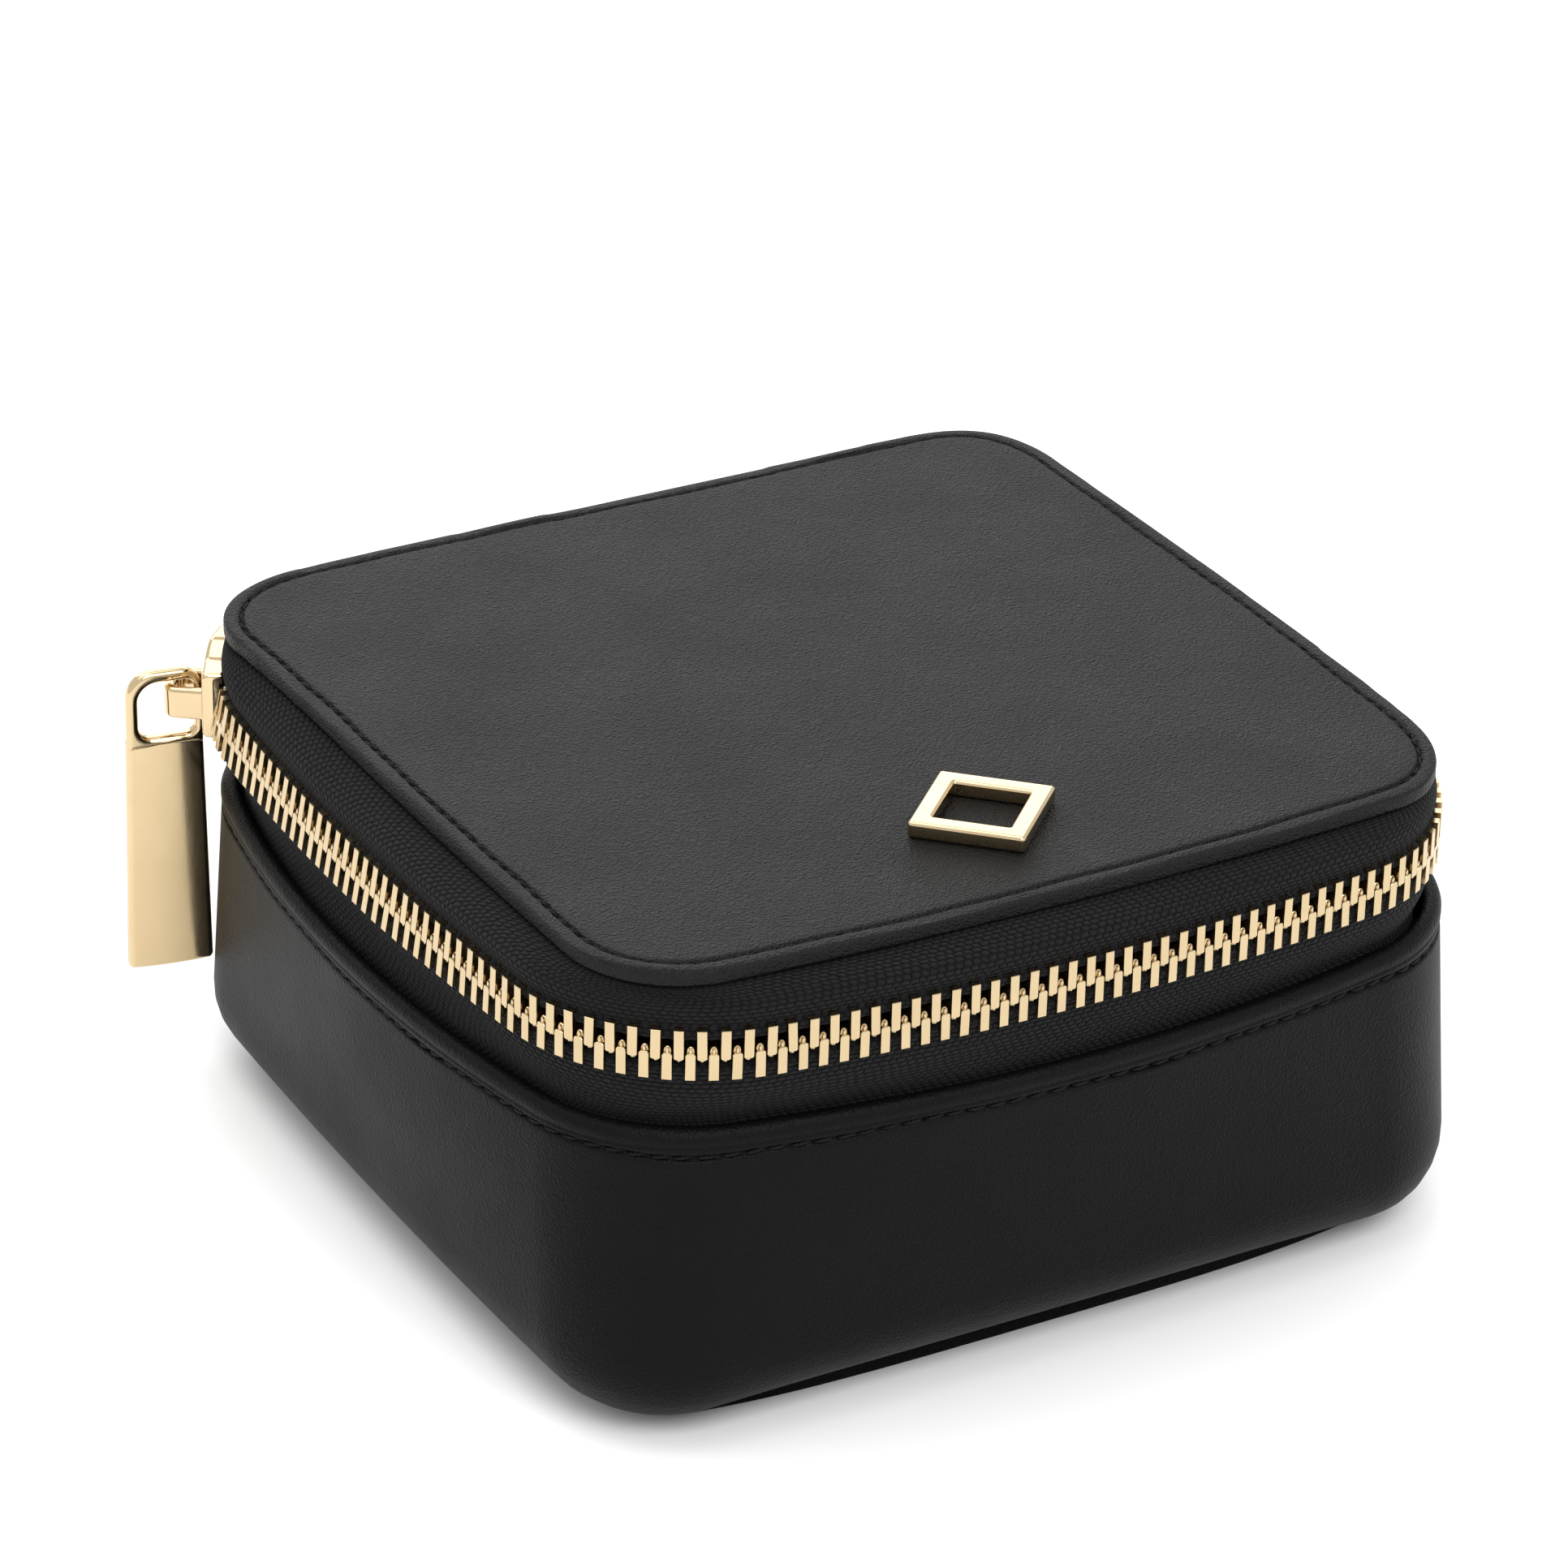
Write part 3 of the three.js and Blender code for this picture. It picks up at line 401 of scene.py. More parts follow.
def suede(name, dark, light, sheen=0.35):
    m = Nodes(name)
    nap, broad = m.noise(3000, 5, 0.65), m.noise(120, 4)
    m.tint(m.math("ADD", m.math("MULTIPLY", nap, 0.45), m.math("MULTIPLY", broad, 0.6)), dark, light)
    m.p.inputs["Roughness"].default_value = 0.95
    m.p.inputs["Specular IOR Level"].default_value = 0.15
    m.p.inputs["Sheen Weight"].default_value = sheen
    m.p.inputs["Sheen Roughness"].default_value = 0.45
    return m.normal(m.bump(m.math("ADD", nap, m.math("MULTIPLY", broad, 0.5)), 0.00012, 0.7))


def thread(name):
    m = Nodes(name)
    sep = m.n("ShaderNodeSeparateXYZ")
    m.link(m.co.outputs["UV"], sep.inputs[0])
    twist = m.math("SINE", m.math("MULTIPLY", m.math("ADD", m.math("MULTIPLY", sep.outputs[0], 10), m.math("MULTIPLY", sep.outputs[1], 10)), 2 * math.pi / 0.42))
    fuzz = m.noise(6000, 3)
    # The colour follows the twist height: the grooves between the plies are darkened as painted shade, and the fuzz
    # adds random tone.
    m.tint(m.spread(m.math("ADD", twist, fuzz), 0, 1, -1, 2), (0.0012, 0.0012, 0.0012), (0.0065, 0.0065, 0.007))
    m.p.inputs["Roughness"].default_value = 0.6
    m.p.inputs["Specular IOR Level"].default_value = 0.14
    return m.normal(m.bump(m.math("ADD", twist, fuzz), 0.00006, 0.7))


def ribbed(name):
    m = Nodes(name)
    sep = m.n("ShaderNodeSeparateXYZ")
    m.link(m.co.outputs["UV"], sep.inputs[0])
    rib = m.math("SINE", m.math("MULTIPLY", sep.outputs[0], 20 * math.pi / 0.7))
    fuzz = m.noise(4000, 4)
    # The colour follows the ribs: the valleys between them are darkened as painted shade.
    m.tint(m.spread(rib, 0, 1, -1, 1), (0.008, 0.008, 0.009), (0.026, 0.026, 0.028))
    m.p.inputs["Roughness"].default_value = 0.85
    return m.normal(m.bump(m.math("ADD", rib, fuzz), 0.00012, 0.8))


def board(name):
    m = Nodes(name)
    fibre, speck = m.noise(1.0, 5, 0.6, stretch=(900, 900, 260)), m.noise(1800, 3)
    m.tint(m.math("ADD", m.math("MULTIPLY", fibre, 0.7), m.math("MULTIPLY", speck, 0.3)), (0.020, 0.018, 0.017), (0.045, 0.041, 0.038))
    m.p.inputs["Roughness"].default_value = 0.88
    return m.normal(m.bump(fibre, 0.00012, 0.6))


# Two copies of one black leather. This base copy takes the leather() default colours and less gloss: its darker colour
# is painted shade on the walls and the hinge. The lid copy below has about twice the colour and more gloss: painted
# light on the lid top. The grain settings differ as texture.
M_LEATHER_BASE_SHADED = leather("black_leather", grain=0.42, pitch=1.3)
M_LEATHER_LID_LIT = leather("black_leather_lid_painted_light", dark=(0.0040, 0.0040, 0.0041), light=(0.0077, 0.0077, 0.0079), spec=0.15, grain=1.0, pitch=1.4)
M_UNDER = leather("black_leather_underside", dark=(0.0015, 0.0015, 0.0015), light=(0.0035, 0.0035, 0.0035), rough=(0.6, 0.75), spec=0.06, grain=1.4)
M_TAPE = twill("zip_tape_twill")
M_THREAD = thread("black_thread")
M_SUEDE = suede("lining_microsuede", (0.035, 0.033, 0.033), (0.085, 0.080, 0.079))
M_ELASTIC = ribbed("ribbed_elastic")
M_GOLD = gold("pale_gold", rough=(0.06, 0.13))
# A darker copy of the same pale gold for the teeth, stops and badge clips: its lowered base colour is painted shade;
# its rougher range is a surface setting.
M_GOLD_TEETH_SHADED = gold("pale_gold_teeth_painted_shade", rough=(0.14, 0.26), base=((0.53, 0.405, 0.235), (0.61, 0.485, 0.30)))


def tab_gold(name):
    m = Nodes(name)
    sep = m.n("ShaderNodeSeparateXYZ")
    m.link(m.co.outputs["UV"], sep.inputs[0])
    brushed = m.noise(1.0, 3, 0.6, stretch=(7000, 7000, 500))
    m.tint(m.noise(200, 3), (0.60, 0.455, 0.255), (0.68, 0.53, 0.32))
    m.p.inputs["Metallic"].default_value = 1.0
    m.link(m.spread(brushed, 0.10, 0.17, 0.3, 0.7), m.p.inputs["Roughness"])
    set_ = m.math("MULTIPLY", sep.outputs[0], 0.01 * -TAB_SET)
    b0 = m.bump(set_, 1.0, 1.0)
    return m.normal(m.bump(brushed, 0.000005, 0.25, b0))


TAB_SET = 0.10
M_GOLD_TAB = tab_gold("pale_gold_tab")
M_BOARD = board("fibreboard")


def done(ob, mat, body=None, nodes=()):
    ob.data.materials.append(mat)
    if body:
        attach(ob, body)
    if nodes:
        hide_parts(*nodes)
    return ob


# ---- base: leather skin ----------------------------------------------------
ARC, SIDE = 52, 190


def foot_lift(rows):
    """The wrapped leather arches a little off the ground in the middle of the front and the back."""
    rows = np.array(rows)
    low = np.clip((12.0 - rows[..., 2]) / 12.0, 0, 1) ** 1.3
    front = np.clip((np.abs(rows[..., 1]) - 26) / 14, 0, 1) * (1 - np.clip(np.abs(rows[..., 0]) / 47, 0, 1) ** 3)
    rows[..., 2] += 0.95 * low * front
    return rows


def edge_rows(depth, n=9, rev=False):
    r = EDGE_R - depth
    out = []
    for a in np.radians(np.linspace(0, 90, n)):
        z = LEATHER_Z + depth + r * (1 - math.cos(a))
        out.append(row(base_at(z), depth + r * (1 - math.sin(a)), z, ARC, SIDE))
    return out[::-1] if rev else out


def R(z, inset):
    return row(base_at(z), inset, z, ARC, SIDE)


rz = RIM_Z
rows = [R(LEATHER_Z, EDGE_R + 4.5)] + edge_rows(0)
rows += [R(z, 0) for z in (14, 18, 22, 26, 30, 33)]
GROOVE = 2.95
rows += [R(rz + dz, i) for dz, i in ((-4.6, 0), (-3.9, 0.0), (-3.45, 0.03))]
groove_rows = [(0.36, 0.10), (0.22, 0.30), (0.10, 0.50), (0.0, 0.56), (-0.10, 0.48), (-0.22, 0.22), (-0.36, 0.02)]
peri = np.linalg.norm(np.diff(np.vstack([R(rz, 0), R(rz, 0)[:1]]), axis=0), axis=1)
peri = np.concatenate([[0], np.cumsum(peri)])[:-1]
rim_wobble = 0.10 * np.sin(peri / 7.3) + 0.06 * np.sin(peri / 2.9 + 1)
hole = 0.5 + 0.5 * np.cos(2 * math.pi * peri / 2.46)
for dz, dep in groove_rows:
    g = R(rz - GROOVE - dz, 0)
    cut = R(rz - GROOVE - dz, 1.0)
    t = (dep * (0.72 + 0.55 * hole))[:, None]
    g[:, :2] += (cut[:, :2] - g[:, :2]) * t
    g[:, 2] += rim_wobble
    rows.append(g)
rows += [R(rz + dz, i) for dz, i in ((-2.35, -0.05), (-2.1, -0.02), (-1.98, 0.06), (-1.86, -0.02), (-1.6, -0.14), (-1.1, -0.16), (-0.65, -0.02), (-0.3, 0.22), (-0.08, 0.55), (0.0, 0.95), (-0.06, 1.35), (-0.3, 1.7), (-0.8, 1.92), (-1.6, 2.0), (-3.5, 2.0), (-5.2, 2.0))]
rows += [R(rz - 5.8, 1.2), R(25, 1.2), R(18, 1.2)] + edge_rows(1.2, rev=True) + [R(LEATHER_Z + 1.2, EDGE_R + 4.5)]
rows = foot_lift(rows)
v, f, uv = lofted(rows, ring=True)
skin = done(new_mesh("base_leather_skin", v, f, uv), M_LEATHER_BASE_SHADED, "base", ["base_leather"])

# bottom panel: a thin leather-covered plate, slightly pillowed at its edge


def P(z, inset):
    a, b = R(z, inset), R(z, inset - 2.7)
    w = np.clip((np.abs(a[:, 1]) - 30) / 10, 0, 1) * (1 - np.clip(np.abs(a[:, 0]) / 45, 0, 1) ** 4)
    a[:, :2] += (b[:, :2] - a[:, :2]) * w[:, None]
    a[:, 2] *= 1 + 0.95 * w
    return a


rows = [P(0.0, 10.6), P(0.0, 9.7), P(0.05, 9.25), P(0.2, 8.98), P(0.45, 8.9), P(0.8, 8.92), P(1.02, 9.2), P(1.05, 9.9)]
v, f, uv = lofted(rows, cap0=(0, 0, 0.0), cap1=(0, 0, 1.0))
done(new_mesh("bottom_panel_skin", v, f, uv), M_UNDER, "base", ["base_bottom_panel"])


# ---- stitching -------------------------------------------------------------
def stitches(name, path, normals, step, length, radius, sink=0.0, slant=0.22):
    """Separate thread stitches along a path: each is a short bent strand that dives into the leather at both ends."""
    path = np.asarray(path, float)
    seg = np.linalg.norm(np.diff(path, axis=0), axis=1)
    s = np.concatenate([[0], np.cumsum(seg)])
    total = s[-1]
    count = int(total / step)
    step = total / count
    k_len, k_rad = 7, 8
    verts, faces, uvs = [], [], []

    def at(x, arr):
        x = np.clip(x, 0, total)
        return np.array([np.interp(x, s, arr[:, c]) for c in range(3)])

    for i in range(count):
        mid = (i + 0.5 + 0.05 * rng.standard_normal()) * step
        lean = slant * (1 + 0.35 * rng.standard_normal())
        base_i = len(verts)
        for k in range(k_len):
            t = k / (k_len - 1)
            x = mid + (t - 0.5) * length
            p, nrm = at(x, path), at(x, np.asarray(normals))
            nrm /= np.linalg.norm(nrm)
            tan = at(x + 0.1, path) - at(x - 0.1, path)
            tan /= np.linalg.norm(tan) + 1e-9
            side = np.cross(nrm, tan)
            rise = math.sin(math.pi * t) ** 0.55 * (radius + sink * 0.2) - radius * 0.55 - sink
            c = p + nrm * rise + side * lean * (t - 0.5)
            fat = radius * (0.55 + 0.45 * math.sin(math.pi * t) ** 0.5)
            for q in range(k_rad):
                a = 2 * math.pi * q / k_rad
                verts.append(c + fat * (math.cos(a) * side + math.sin(a) * nrm * 0.8))
        for k in range(k_len - 1):
            for q in range(k_rad):
                r_ = (q + 1) % k_rad
                faces.append((base_i + k * k_rad + q, base_i + k * k_rad + r_, base_i + (k + 1) * k_rad + r_, base_i + (k + 1) * k_rad + q))
                u0, u1 = k / k_len * length / 10, (k + 1) / k_len * length / 10
                v0, v1 = q * radius * 0.78 / 10, (q + 1) * radius * 0.78 / 10
                uvs += [(u0, v0), (u0, v1), (u1, v1), (u1, v0)]
        for k in (0, k_len - 1):
            faces.append(tuple(base_i + k * k_rad + q for q in range(k_rad)))
            uvs += [(0, 0)] * k_rad
    return new_mesh(name, verts, faces, uvs)


def with_normals(spec, inset, z, arc, side, up=False, f=None):
    p = outline(spec, inset, arc, side)
    if f is not None:
        p = f(p)
    if up:
        nrm = np.tile([0.0, 0.0, 1.0], (len(p), 1))
    else:
        t = np.roll(p, -1, 0) - np.roll(p, 1, 0)
        t /= np.linalg.norm(t, axis=1)[:, None]
        nrm = np.column_stack([t[:, 1], -t[:, 0], np.zeros(len(p))])
    return np.column_stack([p, np.full(len(p), z)]), nrm


path, nrm = with_normals(base_at(rz - GROOVE), 0.28, rz - GROOVE, ARC, SIDE)
path[:, 2] += rim_wobble
path, nrm = np.vstack([path, path[:1]]), np.vstack([nrm, nrm[:1]])
done(stitches("rim_stitching", path, nrm, 2.46, 2.15, 0.21, slant=0.26), M_THREAD, "base")

# ---- lid: leather panel with turned edge and stitch groove ------------------
LA, LS = 64, 220
lid_edge = outline(PANEL, 0, LA, LS)
lid_dxy = lid_pull(lid_edge) - lid_edge
lid_s = np.concatenate([[0], np.cumsum(np.linalg.norm(np.diff(np.vstack([lid_edge, lid_edge[:1]]), axis=0), axis=1))])[:-1]
lid_hole = 0.5 + 0.5 * np.cos(2 * math.pi * lid_s / 2.32)
lid_wobble = 0.07 * np.sin(lid_s / 5.9) + 0.06 * np.sin(lid_s / 2.3 + 2)
lid_swell = 0.06 * np.sin(lid_s / 8.1) + 0.05 * np.sin(lid_s / 3.4 + 1)


def L(inset, z):
    return np.column_stack([outline(PANEL, inset, LA, LS) + lid_dxy, np.full(len(lid_edge), z)])


T = LID_TOP
GI = 1.92
rows = [L(5.0, T - 1.1), L(5.0, T - 1.45), L(5.0, T - 1.8), L(2.5, T - 1.8), L(0.7, T - 1.8), L(0.25, T - 1.76), L(0.06, T - 1.66), L(0.0, T - 1.5), L(0.0, T - 1.1), L(0.0, T - 0.7), L(0.0, T - 0.42), L(0.04, T - 0.26), L(0.14, T - 0.11), L(0.3, T - 0.03), L(0.55, T + 0.02), L(0.95, T + 0.05), L(1.3, T + 0.04)]
for q in rows[-4:]:
    q[:, 2] += lid_swell
for di, dep in ((-0.42, 0.05), (-0.30, 0.14), (-0.18, 0.34), (-0.09, 0.52), (0.0, 0.58), (0.09, 0.52), (0.18, 0.32), (0.30, 0.10), (0.44, 0.0)):
    q = L(GI + di, T + 0.02)
    o = L(GI + di + 1.0, T)
    q[:, :2] += (o[:, :2] - q[:, :2]) * lid_wobble[:, None]
    q[:, 2] -= dep * (0.62 + 0.60 * lid_hole)
    rows.append(q)
rows += [L(2.75, T + 0.05), L(3.4, T + 0.07), L(4.4, T + 0.07), L(5.6, T + 0.07), L(8.0, T + 0.07)]
last = L(8.0, T)
for k in (0.94, 0.86, 0.77, 0.67, 0.56, 0.44, 0.31, 0.17):
    q = last.copy()
    q[:, :2] *= k
    q[:, 2] = T + 0.07 + 0.10 * (1 - k)
    rows.append(q)
v, f, uv = lofted(rows, cap0=(0, 0, T - 1.1), cap1=(0, 0, T + 0.17))
done(new_mesh("lid_leather_skin", v, f, uv), M_LEATHER_LID_LIT, "lid", ["lid_leather"])
path = L(GI, T - 0.36)
path[:, :2] += (L(GI + 1.0, T)[:, :2] - path[:, :2]) * lid_wobble[:, None]
path = np.vstack([path, path[:1]])
done(stitches("lid_stitching", path, np.tile([0.0, 0.0, 1.0], (len(path), 1)), 2.32, 2.05, 0.21, slant=0.30), M_THREAD, "lid")

# ---- zip -------------------------------------------------------------------
ZA, ZS = 70, 170
ZN = zip_count(ZA, ZS)
way = chain_pull(outline(CHAIN, 0, ZA, ZS))[:ZN]
way_s = np.concatenate([[0], np.cumsum(np.hypot(*np.diff(way, axis=0).T))])
way_t = np.gradient(way, axis=0)
way_t /= np.linalg.norm(way_t, axis=1)[:, None]
slider_s = math.radians(SLIDER_DEG - 90) * CHAIN[2]


def parted(s):
    t = np.clip((slider_s + 1.6 - s) / 3.6, 0, 1)
    return 1.45 * t * t * (3 - 2 * t)


def lean(s, z):
    """On the left side the chain leans: its lower edge stands further out."""
    w = np.clip((np.asarray(s) - 8) / 14, 0, 1) * np.clip((104 - np.asarray(s)) / 30, 0, 1)
    return w * 1.0 * np.clip((2.8 - z) / 5.6, 0, 1.25)


def on_way(s, n):
    x, y = np.interp(s, way_s, way[:, 0]), np.interp(s, way_s, way[:, 1])
    tx, ty = np.interp(s, way_s, way_t[:, 0]), np.interp(s, way_s, way_t[:, 1])
    m = math.hypot(tx, ty)
    return np.array([x + ty / m * n, y - tx / m * n]), np.array([tx, ty]) / m


zip_edge = outline(PANEL, 0, ZA, ZS)
lid_dxy_z = lid_pull(zip_edge) - zip_edge


def tape(name, sections, sign, slot_nodes, nodes):
    """sections: list of (spec, inset, z, follow) across the tape from the teeth outward; follow is the share of the chains' parting."""
    rows = []
    for spec, inset, z, follow, pull in sections:
        p = chain_pull(outline(spec, inset, ZA, ZS))
        if pull:
            p = p + lid_dxy_z * pull
        p = p[:ZN]
        nrm_ = np.column_stack([way_t[:, 1], -way_t[:, 0]])
        if follow:
            p = p + nrm_ * (lean(way_s, z - ZC) * min(1.0, follow * 1.5))[:, None]
        rows.append(np.column_stack([p, z + sign * follow * parted(way_s)]))
    rows = np.array(rows)
    # smooth the section and resample it finely
    d = np.linalg.norm(np.diff(rows[:, ZN // 2], axis=0), axis=1)
    x = np.concatenate([[0], np.cumsum(d)])
    fine = np.linspace(0, x[-1], max(8, int(x[-1] / 0.3)))
    centre = np.empty((len(fine), ZN, 3))
    for c in range(3):
        for j in range(ZN):
            centre[:, j, c] = np.interp(fine, x, rows[:, j, c])
    for _ in range(5):
        centre[1:-1] = (centre[:-2] + centre[1:-1] * 2 + centre[2:]) / 4
    du, dv = np.gradient(centre, axis=1), np.gradient(centre, axis=0)
    n = np.cross(du, dv) * sign
    n /= np.linalg.norm(n, axis=2)[:, :, None]
    s_, v_ = way_s[None, :], fine[:, None]
    zig = 2.3 - np.abs((v_ % 4.6) - 2.3)
    rib = 0.5 + 0.5 * np.cos(2 * math.pi * (s_ + 0.9 * zig + 0.35 * np.sin(s_ / 1.9 + v_ * 1.3)) / 0.92)
    soft = 0.10 * np.sin(s_ / 9.3 + 1.1 * np.sin(v_ / 2.2)) + 0.05 * np.sin(s_ / 3.7 + v_)
    fade = np.clip(v_ / 1.5, 0, 1) * np.clip((fine[-1] - v_) / 3.0, 0, 1)
    front = centre - n * 0.28 - n * (rib * 0.03)[:, :, None]
    back = centre + n * 0.28
    front, back = front - n * (soft * fade)[:, :, None], back - n * (soft * fade)[:, :, None]
    allrows = np.concatenate([front, back[::-1]])
    m = len(allrows)
    vv = np.concatenate([fine, fine[::-1], [fine[0]]])
    verts, faces, uv = lofted(allrows, closed=False, ring=True, s=way_s, v=vv)
    nn = ZN
    for j in (0, nn - 1):
        for i in range(len(fine) - 1):
            a, b = i * nn + j, (i + 1) * nn + j
            c, d_ = (m - 2 - i) * nn + j, (m - 1 - i) * nn + j
            faces.append((a, b, c, d_))
            uv = np.vstack([uv, np.zeros((4, 2))])
    return done(new_mesh(name, verts, faces, uv), M_TAPE, None, nodes)


lower = tape("zip_tape_lower_woven", [
    (CHAIN, 0.0, ZC - 2.3, 1, 0), (CHAIN, 0.0, ZC - 3.2, 1, 0), (CHAIN, 0.0, ZC - 4.4, 0.6, 0), (CHAIN, 0.02, ZC - 5.2, 0.2, 0),
    (lerp(CHAIN, RIM, 0.5), 1.3, 40.0, 0, 0), (RIM, 2.62, 38.3, 0, 0), (base_at(36), 2.65, 36.0, 0, 0), (base_at(33.2), 2.65, 33.2, 0, 0),
], -1, None, ["zip_tape_lower"])
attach(lower, "base")
upper = tape("zip_tape_upper_woven", [
    (CHAIN, 0.0, ZC + 2.3, 1, 0), (CHAIN, -0.15, ZC + 3.2, 1, 0), (CHAIN, -0.45, ZC + 4.3, 0.5, 0.1), (CHAIN, -0.45, ZC + 5.1, 0.1, 0.35),
    (lerp(CHAIN, PANEL, 0.5), 0.1, 53.5, 0, 0.7), (PANEL, 1.0, 54.15, 0, 1), (PANEL, 2.4, 54.32, 0, 1), (PANEL, 4.6, 54.35, 0, 1),
], 1, None, ["zip_tape_upper"])
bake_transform(upper)


def bead(name, z0, sign, body):
    """The corded edge of the tape that the teeth clamp."""
    stations = np.arange(0.4, way_s[-1] - 0.3, 0.55)
    k = 10
    rows = []
    for s in stations:
        (x, y), (tx, ty) = on_way(s, float(lean(s, z0 - ZC)))
        z = z0 + sign * float(parted(s))
        wave = 1 + 0.07 * math.sin(s * 5.1)
        ring = []
        for q in range(k):
            a = 2 * math.pi * q / k
            n = 0.86 * wave * math.cos(a)
            ring.append((x + ty * n, y - tx * n, z + 0.80 * wave * math.sin(a)))
        rows.append(ring)
    vv = np.concatenate([stations, [stations[-1]]])
    v, f, uv = lofted(rows, cap0=True, cap1=True, s=np.linspace(0, 5.2, k + 1), v=vv)
    return new_mesh(name, v, f, uv[:, ::-1])


cord_lo = done(bead("zip_cord_lower", ZC - 2.05, -1, None), M_TAPE, "base")
cord_up = done(bead("zip_cord_upper", ZC + 2.05, 1, None), M_TAPE, None)
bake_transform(cord_up)

def tooth_outline(w, top, tip, cut):
    return np.array([(-w, top), (-w, tip + cut), (-w + cut, tip), (w - cut, tip), (w, tip + cut), (w, top)])


def prism(verts, faces, poly, n0, n1, edge, put):
    """A small metal block: outline in (along, up), from n0 to n1 outward, with broken edges."""
    poly = poly if area2(poly) > 0 else poly[::-1]
    lv = [(n0, offset(poly, edge)), (n0 + edge * 0.9, poly), (n1 - edge * 0.9, poly), (n1 - edge * 0.25, offset(poly, edge * 0.45)), (n1, offset(poly, edge))]
    b, n = len(verts), len(poly)
    for nn, pl in lv:
        verts.extend(put(ds, nn, dz) for ds, dz in pl)
    for k in range(len(lv) - 1):
        for q in range(n):
            r_ = (q + 1) % n
            faces.append((b + k * n + q, b + k * n + r_, b + (k + 1) * n + r_, b + (k + 1) * n + q))
    faces.append(tuple(b + q for q in range(n)))
    faces.append(tuple(b + (len(lv) - 1) * n + q for q in range(n)))


def chain(name, sign):
    off = 0.5 if sign > 0 else 0.0
    count = int(math.floor((way_s[-1] - 1.2 - 1.4) / PITCH - 0.5))
    body = tooth_outline(0.50, 2.84, -0.50 if sign > 0 else -0.22, 0.16)
    head = np.array([(-0.44, 0.5), (-0.40, -0.42), (-0.30, -0.74), (-0.12, -0.88), (0.12, -0.88), (0.30, -0.74), (0.40, -0.42), (0.44, 0.5)])
    ridge = np.array([(-0.17, 0.2), (-0.17, -0.60), (-0.08, -0.76), (0.08, -0.76), (0.17, -0.60), (0.17, 0.2)])
    verts, faces = [], []
    for i in range(count):
        s0 = 1.2 + (i + off + 0.5) * PITCH
        jit = rng.normal(0, 0.010, 3)
        apart = float(parted(s0))
        turn = rng.normal(0, 0.012)

        def put(ds, n, dz):
            z = sign * (dz + apart) + jit[2]
            (x, y), _ = on_way(s0 + ds + jit[0] + turn * dz, n + jit[1] + float(lean(s0, z)))
            return (x, y, ZC + z)

        prism(verts, faces, body, -1.40, 1.40, 0.07, put)
        prism(verts, faces, head, -1.02, 1.02, 0.10, put)
        prism(verts, faces, ridge, 0.95, 1.26, 0.09, put)
    return new_mesh(name, verts, faces, smooth=False)


teeth_lo = done(chain("zip_teeth_lower_set", -1), M_GOLD_TEETH_SHADED, "base", ["zip_teeth_lower"])
teeth_up = done(chain("zip_teeth_upper_set", 1), M_GOLD_TEETH_SHADED, None, ["zip_teeth_upper"])
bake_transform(teeth_up)


def stop(name, s0, s1, z0, z1, body, node):
    c = round_poly([(s0, z0), (s1, z0), (s1, z1), (s0, z1)], [0.22] * 4, 4)

    def place(a, b, d):
        (x, y), _ = on_way(a, d)
        return (x, y, b)

    v, f = soft_extrude(resample(c, 0.3), [], -1.25, 1.25, 0.25, place)
    return done(new_mesh(name, v, f), M_GOLD_TEETH_SHADED, body, [node])


stop("end_stop_clamp", way_s[-1] - 1.0, way_s[-1] - 0.1, ZC - 3.0, ZC + 3.0, "base", "zip_end_stop")
stop("top_stop_lower_clamp", 0.1, 0.85, ZC - 4.1, ZC - 2.0, "base", "zip_top_stop_lower")
stop("top_stop_upper_clamp", 0.1, 0.85, ZC + 2.0, ZC + 4.1, "lid", "zip_top_stop_upper")

# ---- slider and pull tab ---------------------------------------------------
TH = math.radians(SLIDER_DEG)
SC = np.array([-CHAIN[0], CHAIN[1]])


def bend(u, n, z):
    a = TH + u / CHAIN[2]
    r = CHAIN[2] + n
    return (SC[0] + r * math.cos(a), SC[1] + r * math.sin(a), ZC + z)


def stiff(u, n, z):
    r = CHAIN[2] + n
    return (SC[0] + r * math.cos(TH) - u * math.sin(TH), SC[1] + r * math.sin(TH) + u * math.cos(TH), ZC + z)


